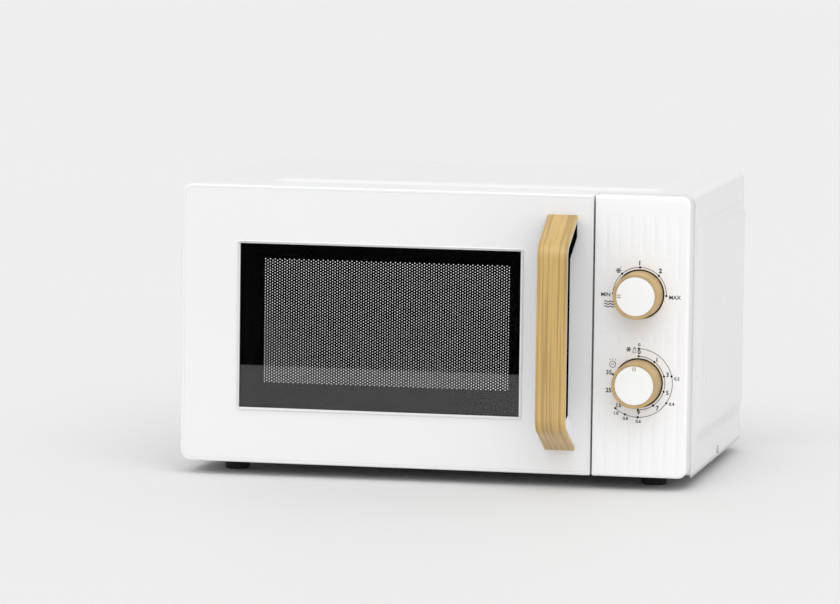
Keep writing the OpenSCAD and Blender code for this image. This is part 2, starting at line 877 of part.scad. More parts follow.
// Bell that rings when the timer comes back to zero
module timer_bell() {
    y0 = front_y + 9 + 28 + 3;
    color("gold") {
        difference() {
            rod_y(dial_x, timer_z, 20, y0, y0 + 10);
            rod_y(dial_x, timer_z, 19, y0 - 1, y0 + 9);
        }
        rod_y(dial_x, timer_z, 2, y0 - 3, y0 + 9);
    }
}

module power_selector() {
    color("gainsboro") {
        dial_case(power_z, 21, 18, 24);
        for (i = [0:1])
            block(
                [dial_x - 8 + i * 14, front_y + 33, power_z - 10],
                [dial_x - 6 + i * 14, front_y + 42, power_z - 4]
            );
    }
}

// Ring, cap and shaft of a dial at height z
module dial_ring(z) {
    color("burlywood") difference() {
        rod_y(dial_x, z, dial_r, front_y - dial_out, front_y + recess_d - 0.5);
        rod_y(dial_x, z, cap_r + 0.15, front_y - dial_out - 1, front_y + recess_d);
    }
}

module dial_cap(z, turn) {
    color("white") difference() {
        union() {
            rod_y(dial_x, z, cap_r, front_y - dial_out, front_y - dial_out + 4);
            rod_y(dial_x, z, 8, front_y - dial_out + 4, front_y - 3);
            for (i = [0:3])
                translate([dial_x, 0, z]) rotate([0, 45 + i * 90, 0])
                    block([6, front_y - dial_out + 3, -0.8], [cap_r, front_y - 4, 0.8]);
        }
        rod_y(dial_x, z, shaft_r + 0.02, front_y - 16, front_y);
        translate([dial_x, 0, z]) rotate([0, turn, 0])
            for (side = [-1, 1])
                block(
                    [side * 1.1 - 0.35, front_y - dial_out - 1, cap_r - 5],
                    [side * 1.1 + 0.35, front_y - dial_out + 0.5, cap_r - 0.8]
                );
    }
}

module dial_shaft(z) {
    color("silver") rod_y(dial_x, z, shaft_r, front_y - 15, shaft_back_y);
}

module power_ring() dial_ring(power_z);
module timer_ring() dial_ring(timer_z);
module power_cap() dial_cap(power_z, -90);
module timer_cap() dial_cap(timer_z, 0);
module power_shaft() dial_shaft(power_z);
module timer_shaft() dial_shaft(timer_z);

// ---------- door ----------

// Steel arm on the front plate with the pin that the door turns on; up is 1 or -1
module hinge_arm(z, up) {
    pin_l = 13;
    color("silver") {
        rod_z(hinge_x, hinge_y, 4.2, z, z + hinge_arm_t);
        block(
            [hinge_x - hinge_arm_w / 2, hinge_y, z],
            [hinge_x + hinge_arm_w / 2, frame_y - touch, z + hinge_arm_t]
        );
        block(
            [hinge_x - 0.5, frame_y - 1.2, up > 0 ? z : z - 8],
            [hinge_x + hinge_arm_w, frame_y - touch, up > 0 ? z + hinge_arm_t + 8 : z + hinge_arm_t]
        );
        rod_z(hinge_x, hinge_y, hinge_pin_r, up > 0 ? z - pin_l : z, up > 0 ? z : z + hinge_arm_t + pin_l);
    }
}

module upper_hinge() hinge_arm(upper_arm_z, 1);
module lower_hinge() hinge_arm(lower_arm_z, -1);

// Bushes inside the door's left edge that turn on the hinge pins
module hinge_bushes() {
    gap = 0.4;
    color("dimgray") for (z = [[upper_arm_z - gap - 12, upper_arm_z - gap],
                              [lower_arm_z + hinge_arm_t + gap, lower_arm_z + hinge_arm_t + gap + 12]])
        difference() {
            union() {
                rod_z(hinge_x, hinge_y, 4.6, z[0], z[1]);
                block([hinge_x, hinge_y - 4.6, z[0]], [hinge_x + 7, hinge_y + 2, z[1]]);
            }
            rod_z(hinge_x, hinge_y, hinge_pin_r + hinge_fit, z[0] - 1, z[1] + 1);
        }
}

window_x0 = window_x - window_w / 2;
window_x1 = window_x + window_w / 2;
window_z0 = window_z - window_h / 2;
window_z1 = window_z + window_h / 2;
glass_y0 = front_y + 0.6;
glass_t = 3.2;
glass_fit = 0.15;
ledge_w = 5;
ledge_t = 2;
door_corner_r = 9;
bead_in = 3;
bead_w = 0.6;
bead_d = 0.3;

// Moulded front of the door: a shallow shell with the window opening and a ledge behind the glass
module door_fascia() {
    outline = rect(door_left_x, low_z, door_right_x, high_z);
    inner = rect(door_left_x + wall, low_z + wall, door_right_x - wall, high_z - wall);
    color("white") difference() {
        along_y(front_y, door_back_y)
            polygon(rounded(outline, [door_corner_r, 1.5, 1.5, door_corner_r]));
        difference() {
            along_y(front_y + front_wall, door_back_y + 1)
                polygon(rounded(inner, [door_corner_r - wall, 0.5, 0.5, door_corner_r - wall]));
            block(
                [window_x0 - ledge_w, front_y, window_z0 - ledge_w],
                [window_x1 + ledge_w, glass_y0 + glass_t + ledge_t, window_z1 + ledge_w]
            );
        }
        block([window_x0, front_y - 1, window_z0], [window_x1, glass_y0 + glass_t, window_z1]);
        block(
            [window_x0 + ledge_w, front_y, window_z0 + ledge_w],
            [window_x1 - ledge_w, glass_y0 + glass_t + ledge_t + 1, window_z1 - ledge_w]
        );
        along_y(front_y - 1, front_y + bead_d)
            difference() {
                polygon(rounded(
                    rect(door_left_x + bead_in, low_z + bead_in, door_right_x - bead_in, high_z - bead_in),
                    [door_corner_r - bead_in, 1, 1, door_corner_r - bead_in]
                ));
                polygon(rounded(
                    rect(
                        door_left_x + bead_in + bead_w, low_z + bead_in + bead_w,
                        door_right_x - bead_in - bead_w, high_z - bead_in - bead_w
                    ),
                    [door_corner_r - bead_in - bead_w, 0.6, 0.6, door_corner_r - bead_in - bead_w]
                ));
            }
        difference() {
            block(
                [door_left_x - 1, hinge_y, low_z - 1],
                [hinge_x, door_back_y + 1, high_z + 1]
            );
            rod_z(hinge_x, hinge_y, hinge_r, low_z - 2, high_z + 2);
        }
        for (z = [upper_arm_z, lower_arm_z])
            rod_z(hinge_x, hinge_y, hinge_r + 4.5, z - 0.8, z + hinge_arm_t + 0.8);
        for (z = [handle_z0 + handle_screw_in, handle_z1 - handle_screw_in])
            rod_y(handle_x, z, 2.2, front_y - 1, front_y + front_wall + 1);
    }
}

module door_window() {
    color([0.05, 0.05, 0.05, 0.8]) block(
        [window_x0 + glass_fit, glass_y0, window_z0 + glass_fit],
        [window_x1 - glass_fit, glass_y0 + glass_t, window_z1 - glass_fit]
    );
}

screen_y = front_y + 9;
screen_press = 0.3;
choke_x0 = hinge_x + 10;
choke_x1 = latch_x - latch_w / 2 - 3;
choke_z0 = low_z + 9;
choke_z1 = high_z - 9;
choke_in = 18;

// Steel inner door: a flat plate behind the window and a folded channel round its edge
module door_screen() {
    y1 = door_back_y - 3;
    color("dimgray") {
        difference() {
            block(
                [choke_x0, screen_y, choke_z0],
                [choke_x1, screen_y + sheet, choke_z1]
            );
            block(
                [screen_x - screen_w / 2, screen_y - 1, screen_z - screen_h / 2],
                [screen_x + screen_w / 2, screen_y + screen_press, screen_z + screen_h / 2]
            );
        }
        difference() {
            block([choke_x0, screen_y + sheet, choke_z0], [choke_x1, y1, choke_z1]);
            block(
                [choke_x0 + sheet, screen_y, choke_z0 + sheet],
                [choke_x1 - sheet, y1 + 1, choke_z1 - sheet]
            );
        }
        difference() {
            block(
                [choke_x0 + choke_in, screen_y + sheet, choke_z0 + choke_in],
                [choke_x1 - choke_in, y1, choke_z1 - choke_in]
            );
            block(
                [choke_x0 + choke_in + sheet, screen_y, choke_z0 + choke_in + sheet],
                [choke_x1 - choke_in - sheet, y1 + 1, choke_z1 - choke_in - sheet]
            );
        }
    }
}

module door_inner_film() {
    y0 = screen_y + sheet + touch;
    gap = choke_in + sheet + 0.3;
    color("lightgray") block(
        [choke_x0 + gap, y0, choke_z0 + gap],
        [choke_x1 - gap, y0 + 0.6, choke_z1 - gap]
    );
}

// Moulded ring that closes the channel on the oven's side
module door_choke_cover() {
    y0 = door_back_y - 3 + touch;
    color("darkgray") difference() {
        block([choke_x0, y0, choke_z0], [choke_x1, door_back_y, choke_z1]);
        block(
            [choke_x0 + choke_in + sheet, y0 - 1, choke_z0 + choke_in + sheet],
            [choke_x1 - choke_in - sheet, door_back_y + 1, choke_z1 - choke_in - sheet]
        );
    }
}

hook_y1 = frame_y + 17;

// Upright bar in the door's right edge with two hooks that reach into the cabinet
module latch_hooks() {
    bar_y0 = door_back_y - 14;
    color("ivory") {
        block(
            [latch_x - latch_w / 2, bar_y0, hook_zs[0] - 10],
            [latch_x + latch_w / 2, bar_y0 + 9, hook_zs[1] + 10]
        );
        for (z = hook_zs)
            along_x(latch_x - latch_w / 2, latch_x + latch_w / 2)
                polygon([
                    [bar_y0 + 9 - 0.01, z - 4], [hook_y1 - 6, z - 4], [hook_y1 - 6, z - 8], [hook_y1 - 2, z - 7],
                    [hook_y1, z - 2], [hook_y1 - 2, z + 4], [bar_y0 + 9 - 0.01, z + 4]
                ]);
    }
}

spring_turns = 8;
spring_r = 2.6;
spring_wire_r = 0.45;
spring_l = 22;
spring_steps = 12;
spring_sides = 6;
spring_y = door_back_y - 17.8;
spring_z0 = hook_zs[0] + 55;

// Ring of points round the spring's wire at step i
function spring_ring(i) =
    let (
        a = i * 360 / spring_steps,
        out = [cos(a), sin(a), 0],
        rise = spring_l * i / (spring_turns * spring_steps)
    )
    [for (k = [0:spring_sides - 1])
        let (b = k * 360 / spring_sides)
            (spring_r + spring_wire_r * cos(b)) * out + [0, 0, rise + spring_wire_r * sin(b)]];

// Coil spring that draws the hooks down
module latch_spring() {
    rings = spring_turns * spring_steps;
    pts = [for (i = [0:rings]) each spring_ring(i)];
    sides = [for (i = [0:rings - 1], k = [0:spring_sides - 1])
        let (n = spring_sides, m = (k + 1) % n)
            [i * n + k, i * n + m, (i + 1) * n + m, (i + 1) * n + k]];
    start_cap = [[for (k = [spring_sides - 1:-1:0]) k]];
    end_cap = [[for (k = [0:spring_sides - 1]) rings * spring_sides + k]];
    color("silver") translate([latch_x, spring_y, spring_z0])
        polyhedron(points = pts, faces = concat(start_cap, sides, end_cap));
}

// ---------- handle ----------

handle_slope = handle_end / handle_out;
handle_lean = sqrt(1 + handle_slope * handle_slope);

// Side view of the handle at depth k below its outer face, from the upper foot to the lower foot
function handle_line(k) =
    let (
        bar_y = front_y - handle_out + k,
        foot = k * handle_lean,
        end = handle_slope * (handle_out - k)
    )
    [
        [front_y, handle_z1 - foot], [bar_y, handle_z1 - foot - end],
        [bar_y, handle_z0 + foot + end], [front_y, handle_z0 + foot]
    ];

function handle_path(k) =
    let (p = handle_line(k))
    concat(
        [p[0]], corner_arc(p[0], p[1], p[2], handle_bend_r - k),
        corner_arc(p[1], p[2], p[3], handle_bend_r - k), [p[3]]
    );

// Bowed strip of the handle between two depths below its outer face
module handle_band(k0, k1) {
    along_x(handle_x - handle_w / 2, handle_x + handle_w / 2)
        polygon(concat(handle_path(k0), reversed(handle_path(k1))));
}

// Plated inner bar with a block in each foot for its screw
module handle_core() {
    foot_in = 4.6;
    foot_l = 17;
    foot_d = 12;
    color("silver") difference() {
        union() {
            handle_band(handle_cover_t + 0.05, handle_t);
            for (z = [handle_z0 + foot_in, handle_z1 - foot_in - foot_l + 4])
                intersection() {
                    block(
                        [handle_x - handle_w / 2, front_y - foot_d, z],
                        [handle_x + handle_w / 2, front_y, z + foot_l - 4]
                    );
                    handle_band(handle_cover_t + 0.05, handle_t + 14);
                }
        }
        for (z = [handle_z0 + handle_screw_in, handle_z1 - handle_screw_in])
            rod_y(handle_x, z, 1.9, front_y - 9, front_y + 1);
    }
}

// Wood-look strip over the whole outer face of the handle
module handle_cover() {
    color("burlywood") handle_band(0, handle_cover_t);
}

module handle_screws() {
    color("silver") for (z = [handle_z0 + handle_screw_in, handle_z1 - handle_screw_in]) {
        rod_y(handle_x, z, 1.9, front_y - 8, front_y + front_wall);
        rod_y(handle_x, z, 3.6, front_y + front_wall, front_y + front_wall + 2);
    }
}

outer_cover();
base_plate();
back_plate();
front_frame();
oven_cavity();
control_panel();
feet();
cover_screws();
cord_bushing();
waveguide();
waveguide_cover();
magnetron_yoke();
magnetron_magnets();
magnetron_anode();
transformer_core();
transformer_coils();
capacitor();
capacitor_clamp();
diode();
fan_motor();
fan_shroud();
fan_blade();
air_duct();
turntable_motor();
motor_hatch();
drive_coupler();
glass_tray();
roller_ring();
roller_1();
roller_2();
roller_3();
lamp_bulb();
lamp_holder();
thermal_cutouts();
filter_board();
fuse();
latch_board();
micro_switches();
timer_unit();
timer_bell();
power_selector();
upper_hinge();
lower_hinge();
door_fascia();
door_window();
door_screen();
door_inner_film();
door_choke_cover();
hinge_bushes();
latch_hooks();
latch_spring();
handle_core();
handle_cover();
handle_screws();
power_ring();
power_cap();
power_shaft();
timer_ring();
timer_cap();
timer_shaft();
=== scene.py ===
"""Looks of a countertop microwave oven: painted cabinet, moulded door and panel, bar handle, two dials."""

import json
import logging
from dataclasses import dataclass, field
from enum import Enum

import bmesh
import bpy
import numpy as np
from mathutils import Matrix, Vector


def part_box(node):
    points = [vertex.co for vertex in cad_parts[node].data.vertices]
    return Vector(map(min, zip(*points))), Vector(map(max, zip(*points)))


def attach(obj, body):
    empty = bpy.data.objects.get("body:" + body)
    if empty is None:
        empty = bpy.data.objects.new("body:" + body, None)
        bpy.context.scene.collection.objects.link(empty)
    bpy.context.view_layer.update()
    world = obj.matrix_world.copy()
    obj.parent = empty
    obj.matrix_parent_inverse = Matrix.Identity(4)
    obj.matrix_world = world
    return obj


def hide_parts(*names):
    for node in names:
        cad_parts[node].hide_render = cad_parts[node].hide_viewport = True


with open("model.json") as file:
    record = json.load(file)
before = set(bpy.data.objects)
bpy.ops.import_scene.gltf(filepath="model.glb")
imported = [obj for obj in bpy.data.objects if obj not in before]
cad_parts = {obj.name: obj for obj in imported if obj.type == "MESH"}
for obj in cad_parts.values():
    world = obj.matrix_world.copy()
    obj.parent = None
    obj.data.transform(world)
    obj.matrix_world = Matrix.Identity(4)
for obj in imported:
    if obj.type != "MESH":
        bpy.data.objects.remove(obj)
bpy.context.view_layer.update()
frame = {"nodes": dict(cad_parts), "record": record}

log = logging.getLogger("microwave_oven")
MM = 0.001
SMALL = 1e-4
Array = np.ndarray
Colour = tuple[float, float, float]


# ---------- finishes ----------


class Grain(Enum):
    """Kinds of fine surface pattern that a finish can carry."""

    ORANGE_PEEL = "orange_peel"
    BRUSHED = "brushed"
    WOOD = "wood"


@dataclass(frozen=True)
class Finish:
    """One surface finish.

    Attributes:
        name: What a maker would call it.
        colour: Linear base colour.
        roughness: Middle roughness.
        metallic: 1 for bare or plated metal.
        transmission: 1 for clear glass.
        ior: Index of refraction.
        specular: Strength of the plain reflection.
        coat: Weight of a clear lacquer.
        emission: Strength of a painted glow, by which a thin pale film gives off light though it is no lamp.
        grain: Kind of fine pattern.
        size: Size of the pattern's features in metres.
        variation: Share by which the colour wanders.
        spread: Amount by which the roughness wanders.
        relief: Height of the pattern in metres.
    """

    name: str
    colour: Colour
    roughness: float
    metallic: float = 0.0
    transmission: float = 0.0
    ior: float = 1.46
    specular: float = 0.5
    coat: float = 0.0
    emission: float = 0.0
    grain: Grain = Grain.ORANGE_PEEL
    size: float = 0.002
    variation: float = 0.03
    spread: float = 0.05
    relief: float = 0.00001

    def material(self) -> bpy.types.Material:
        """Builds this finish's material once.

        Returns:
            The material, shared by every piece of this finish.
        """
        if self.name in bpy.data.materials:
            return bpy.data.materials[self.name]
        made = bpy.data.materials.new(self.name)
        made.use_nodes = True
        nodes, links = made.node_tree.nodes, made.node_tree.links
        shader = nodes["Principled BSDF"]
        shader.inputs["Metallic"].default_value = self.metallic
        shader.inputs["Transmission Weight"].default_value = self.transmission
        shader.inputs["IOR"].default_value = self.ior
        shader.inputs["Specular IOR Level"].default_value = self.specular
        shader.inputs["Coat Weight"].default_value = self.coat
        shader.inputs["Coat Roughness"].default_value = 0.06
        pattern = nodes.new("ShaderNodeGroup")
        pattern.node_tree = pattern_tree(self.grain)
        pattern.inputs["Colour"].default_value = (*self.colour, 1.0)
        pattern.inputs["Size"].default_value = self.size
        pattern.inputs["Variation"].default_value = self.variation
        pattern.inputs["Roughness"].default_value = self.roughness
        pattern.inputs["Spread"].default_value = self.spread
        relief = nodes.new("ShaderNodeBump")
        relief.inputs["Distance"].default_value = self.relief
        links.new(pattern.outputs["Colour"], shader.inputs["Base Color"])
        links.new(pattern.outputs["Roughness"], shader.inputs["Roughness"])
        links.new(pattern.outputs["Height"], relief.inputs["Height"])
        links.new(relief.outputs["Normal"], shader.inputs["Normal"])
        # Emission paints a glow: the surface gives off light though it is no lamp.
        if self.emission:
            links.new(pattern.outputs["Colour"], shader.inputs["Emission Color"])
            shader.inputs["Emission Strength"].default_value = self.emission
        return made


@dataclass
class PatternGroup:
    """Shader node group under construction, with the sockets that every pattern shares.

    Attributes:
        name: Name of the group.
    """

    name: str

    def __post_init__(self) -> None:
        """Makes the empty group and its interface."""
        self.tree = bpy.data.node_groups.new(self.name, "ShaderNodeTree")
        sides = self.tree.interface
        sides.new_socket("Colour", in_out="INPUT", socket_type="NodeSocketColor")
        for name in ("Size", "Variation", "Roughness", "Spread"):
            sides.new_socket(name, in_out="INPUT", socket_type="NodeSocketFloat")
        sides.new_socket("Colour", in_out="OUTPUT", socket_type="NodeSocketColor")
        for name in ("Roughness", "Height"):
            sides.new_socket(name, in_out="OUTPUT", socket_type="NodeSocketFloat")
        self.start = self.tree.nodes.new("NodeGroupInput")
        self.end = self.tree.nodes.new("NodeGroupOutput")

    def join(self, source: bpy.types.NodeSocket, target: bpy.types.NodeSocket) -> None:
        """Links two sockets."""
        self.tree.links.new(source, target)

    def maths(self, operation: str, *terms: bpy.types.NodeSocket | float) -> bpy.types.NodeSocket:
        """Adds a Math node.

        Args:
            operation: Name of the operation.
            terms: Sockets or numbers for its inputs, in order.

        Returns:
            The node's result.
        """
        node = self.tree.nodes.new("ShaderNodeMath")
        node.operation = operation
        for socket, term in zip(node.inputs, terms):
            if isinstance(term, (int, float)):
                socket.default_value = term
            else:
                self.join(term, socket)
        return node.outputs[0]

    def place(self, stretch: tuple[float, float, float]) -> bpy.types.NodeSocket:
        """Object coordinates divided by the Size input, drawn out by stretch along each axis.

        Args:
            stretch: Frequency factor along X, Y and Z.

        Returns:
            The scaled coordinates.
        """
        where = self.tree.nodes.new("ShaderNodeTexCoord")
        shrink = self.tree.nodes.new("ShaderNodeMapping")
        shrink.inputs["Scale"].default_value = stretch
        divide = self.tree.nodes.new("ShaderNodeVectorMath")
        divide.operation = "SCALE"
        self.join(where.outputs["Object"], shrink.inputs["Vector"])
        self.join(shrink.outputs["Vector"], divide.inputs["Vector"])
        self.join(self.maths("DIVIDE", 1.0, self.start.outputs["Size"]), divide.inputs["Scale"])
        return divide.outputs["Vector"]

    def noise(self, at: bpy.types.NodeSocket, detail: float, distortion: float = 0.0) -> bpy.types.NodeSocket:
        """Noise over the given coordinates.

        Args:
            at: Coordinates.
            detail: Number of finer layers.
            distortion: How far the coordinates are swirled.

        Returns:
            Noise from 0 to 1.
        """
        node = self.tree.nodes.new("ShaderNodeTexNoise")
        node.inputs["Scale"].default_value = 1.0
        node.inputs["Detail"].default_value = detail
        node.inputs["Distortion"].default_value = distortion
        self.join(at, node.inputs["Vector"])
        return node.outputs["Fac"]

    def swing(self, value: bpy.types.NodeSocket, middle: bpy.types.NodeSocket | float,
              amount: bpy.types.NodeSocket | float) -> bpy.types.NodeSocket:
        """middle + amount * (2 * value - 1), for a value from 0 to 1."""
        centred = self.maths("MULTIPLY_ADD", value, 2.0, -1.0)
        return self.maths("MULTIPLY_ADD", centred, amount, middle)

    def finish(self, tint: bpy.types.NodeSocket, rough: bpy.types.NodeSocket,
               height: bpy.types.NodeSocket) -> bpy.types.NodeTree:
        """Tints the base colour and connects the group's outputs.

        Args:
            tint: Value near 1 that the colour is multiplied by.
            rough: Pattern from 0 to 1 that the roughness follows.
            height: Relief from 0 to 1.

        Returns:
            The finished group.
        """
        mix = self.tree.nodes.new("ShaderNodeVectorMath")
        mix.operation = "SCALE"
        self.join(self.start.outputs["Colour"], mix.inputs["Vector"])
        self.join(tint, mix.inputs["Scale"])
        self.join(mix.outputs["Vector"], self.end.inputs["Colour"])
        wander = self.swing(rough, self.start.outputs["Roughness"], self.start.outputs["Spread"])
        self.join(wander, self.end.inputs["Roughness"])
        self.join(height, self.end.inputs["Height"])
        return self.tree


def orange_peel(group: PatternGroup) -> bpy.types.NodeTree:
    """Fine, even mottling of paint and mouldings, with a broad, faint drift of tone.

    Args:
        group: The empty group that it fills.

    Returns:
        The finished group.
    """
    fine = group.noise(group.place((1.0, 1.0, 1.0)), 2.0)
    broad = group.noise(group.place((0.04, 0.04, 0.04)), 1.0)
    both = group.maths("MULTIPLY", group.maths("ADD", fine, broad), 0.5)
    tint = group.swing(both, 1.0, group.start.outputs["Variation"])
    return group.finish(tint, broad, fine)


def brushed(group: PatternGroup) -> bpy.types.NodeTree:
    """Short fibres along X, as on rolled, ground or plated steel.

    Args:
        group: The empty group that it fills.

    Returns:
        The finished group.
    """
    fibres = group.noise(group.place((0.06, 1.0, 1.0)), 3.0)
    cloud = group.noise(group.place((0.05, 0.05, 0.05)), 2.0)
    tint = group.swing(group.maths("MULTIPLY", fibres, cloud), 1.1, group.start.outputs["Variation"])
    return group.finish(tint, fibres, fibres)


def wood(group: PatternGroup) -> bpy.types.NodeTree:
    """Straight ash grain that runs up the piece: dark streaks, fine fibres and a slow drift of tone.

    Args:
        group: The empty group that it fills.

    Returns:
        The finished group.
    """
    streaks = group.noise(group.place((1.0, 0.02, 0.012)), 2.0, distortion=0.1)
    fibres = group.noise(group.place((4.0, 0.06, 0.04)), 3.0)
    drift = group.noise(group.place((0.25, 0.1, 0.08)), 1.0)
    sharp = group.tree.nodes.new("ShaderNodeMapRange")
    sharp.interpolation_type = "SMOOTHSTEP"
    sharp.inputs["From Min"].default_value = 0.38
    sharp.inputs["From Max"].default_value = 0.55
    group.join(streaks, sharp.inputs["Value"])
    blend = group.maths("MULTIPLY_ADD", sharp.outputs["Result"], 0.5, group.maths("MULTIPLY", fibres, 0.3))
    total = group.maths("MULTIPLY_ADD", drift, 0.2, blend)
    tint = group.swing(total, 1.0, group.start.outputs["Variation"])
    return group.finish(tint, fibres, fibres)


PATTERNS = {Grain.ORANGE_PEEL: orange_peel, Grain.BRUSHED: brushed, Grain.WOOD: wood}


def pattern_tree(grain: Grain) -> bpy.types.NodeTree:
    """The node group of a grain, made the first time it is asked for."""
    return bpy.data.node_groups.get(grain.value) or PATTERNS[grain](PatternGroup(grain.value))


FINISHES = {
    "white_cover": Finish("white_cover_enamel", (0.81, 0.81, 0.818), 0.3, size=0.0016, variation=0.008),
    "white_front": Finish("white_front_moulding", (0.86, 0.86, 0.865), 0.22, size=0.003, variation=0.006),
    "dial_white": Finish("white_dial_moulding", (0.9, 0.895, 0.88), 0.16, size=0.002, variation=0.006),
    "white_steel": Finish("white_frame_paint", (0.78, 0.78, 0.785), 0.38, size=0.0012, variation=0.015),
    "grey_steel": Finish("galvanised_sheet", (0.5, 0.51, 0.52), 0.42, 1.0, grain=Grain.BRUSHED,
                         size=0.0015, variation=0.12, spread=0.08),
    "cavity_enamel": Finish("cavity_enamel", (0.66, 0.67, 0.66), 0.34, size=0.0012, variation=0.05),
    "rubber": Finish("black_rubber", (0.02, 0.02, 0.02), 0.75, size=0.0008, variation=0.2, relief=0.00004),
    "zinc": Finish("zinc_plate", (0.62, 0.62, 0.6), 0.32, 1.0, grain=Grain.BRUSHED, size=0.0005,
                   variation=0.1),
    "mica": Finish("mica_sheet", (0.55, 0.47, 0.33), 0.5, size=0.004, variation=0.25),
    "ferrite": Finish("ferrite_black", (0.04, 0.04, 0.045), 0.6, size=0.001, variation=0.2),
    "copper": Finish("lacquered_copper", (0.6, 0.24, 0.1), 0.3, 1.0, grain=Grain.BRUSHED, size=0.0006,
                     variation=0.15, relief=0.00006),
    "laminate_steel": Finish("varnished_laminations", (0.1, 0.1, 0.11), 0.5, 0.6, grain=Grain.BRUSHED,
                             size=0.0005, variation=0.25, relief=0.00005),
    "can_aluminium": Finish("drawn_can", (0.72, 0.73, 0.74), 0.35, 1.0, grain=Grain.BRUSHED, size=0.0008,
                            variation=0.08),
    "inner_plastic": Finish("natural_nylon", (0.68, 0.66, 0.58), 0.45, size=0.001, variation=0.05),
    "grey_plastic": Finish("dark_grey_moulding", (0.035, 0.035, 0.037), 0.5, size=0.0012, variation=0.1),
    "switch_plastic": Finish("red_moulding", (0.4, 0.03, 0.03), 0.45, size=0.001, variation=0.08),
    "tray_glass": Finish("tempered_tray_glass", (0.93, 0.97, 0.96), 0.03, transmission=1.0, size=0.02,
                         spread=0.01, relief=0.00002),
    "lamp_glass": Finish("lamp_bulb_glass", (0.97, 0.96, 0.92), 0.02, transmission=1.0, size=0.01,
                         spread=0.01),
    "board_green": Finish("board_lacquer", (0.03, 0.14, 0.05), 0.35, size=0.003, variation=0.2),
    "bell_brass": Finish("pressed_brass", (0.72, 0.5, 0.2), 0.28, 1.0, grain=Grain.BRUSHED, size=0.0008,
                         variation=0.1),
    "black_glass": Finish("clear_window_glass", (0.95, 0.96, 0.96), 0.01, transmission=1.0, size=0.05,
                          variation=0.002, spread=0.003, relief=0.000001),
    "screen_steel": Finish("black_screen_paint", (0.0022, 0.002, 0.002), 0.5, specular=0.05, size=0.0007,
                           variation=0.2, relief=0.000001),
    "film": Finish("pale_inner_film", (0.78, 0.785, 0.78), 0.3, size=0.006, variation=0.03),
    # Near-black with its reflection turned off (specular 0), so the bar's sides read as a black band.
    "handle_chrome": Finish("black_unreflecting_bar", (0.0025, 0.002, 0.002), 0.5, specular=0.0, grain=Grain.BRUSHED,
                            size=0.0006, variation=0.2, spread=0.04, relief=0.000002),
    "wood_look": Finish("honey_ash_foil", (0.52, 0.345, 0.125), 0.36, coat=0.25, grain=Grain.WOOD,
                        size=0.0019, variation=0.34, spread=0.05, relief=0.00003),
}
# Painted glow: the thin backing behind the screen emits light, so that the screen's holes show bright.
GLOWING_SCREEN_BACKING = Finish("glowing_pale_backing", (0.9, 0.9, 0.89), 0.4, emission=1.0, size=0.006, variation=0.03)
WINDOW_PRINT = Finish("black_window_print", (0.0022, 0.002, 0.002), 0.4, specular=0.05, size=0.002,
                      variation=0.1, relief=0.000001)
PANEL_WHITE = Finish("white_panel_moulding", (0.925, 0.925, 0.93), 0.25, size=0.003, variation=0.006)
MARK_PRINT = Finish("black_mark_print", (0.008, 0.008, 0.009), 0.5, specular=0.2, size=0.0004, variation=0.15)
POINTER_PRINT = Finish("tan_pointer_print", (0.4, 0.27, 0.12), 0.4, size=0.0004, variation=0.1)
# Painted shade: near-black finish for the wells behind the dials, where the recess round each dial falls
# dark.
PAINTED_SHADE_DIAL_WELL = Finish("painted_shade_dial_well", (0.008, 0.007, 0.006), 0.6, specular=0.1, size=0.001, variation=0.15)
# Painted reflection: pale finish for the handle's rim, a painted highlight, and for the bar's foot, a painted
# reflection of the white door.
PAINTED_REFLECTION_PLATE = Finish("pale_painted_reflection", (0.84, 0.85, 0.88), 0.16, 0.3, grain=Grain.BRUSHED, size=0.0006,
                      variation=0.04, spread=0.02, relief=0.000002)
RING_WOOD = Finish("honey_ash_ring", (0.52, 0.36, 0.16), 0.42, grain=Grain.WOOD, size=0.005,
                   variation=0.1, relief=0.00002)
FLOOR = Finish("pale_worktop", (0.765, 0.765, 0.758), 0.6, specular=0.2, size=0.05, variation=0.006,
               relief=0.00001)


# ---------- surfaces ----------


@dataclass(frozen=True)
class Extent:
    """Lowest and highest corner of something, in metres.

    Attributes:
        x0, y0, z0: Lowest corner.
        x1, y1, z1: Highest corner.
    """

    x0: float
    y0: float
    z0: float
    x1: float
    y1: float
    z1: float

    @classmethod
    def of(cls, node: str) -> "Extent":
        """The extent of a CAD node at rest."""
        lo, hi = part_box(node)
        return cls(*lo, *hi)

    @property
    def centre(self) -> Array:
        """The middle point."""
        return np.array([self.x0 + self.x1, self.y0 + self.y1, self.z0 + self.z1]) / 2


def smooth_step(value: Array) -> Array:
    """Rises from 0 to 1 as 3v^2 - 2v^3, and stays flat outside."""
    v = np.clip(value, 0.0, 1.0)
    return v * v * (3.0 - 2.0 * v)


def rows(*stretches: tuple[float, float, int]) -> Array:
    """Joins evenly divided stretches into one rising row of values.

    Args:
        stretches: Start, end and number of steps of each.

    Returns:
        The sorted values, each once.
    """
    parts = [np.linspace(start, end, steps + 1) for start, end, steps in stretches]
    return np.unique(np.round(np.concatenate(parts), 7))


def carried(values: Array, start: float, end: float) -> Array:
    """Carries a rising row of values over to another stretch, in proportion."""
    return start + (values - values[0]) / (values[-1] - values[0]) * (end - start)


def placed(name: str, data: bpy.types.ID) -> bpy.types.Object:
    """Makes an object at the origin and links it to the scene.

    Args:
        name: Its name.
        data: The mesh, curve, light or camera that it shows.

    Returns:
        The object.
    """
    made = bpy.data.objects.new(name, data)
    bpy.context.scene.collection.objects.link(made)
    return made


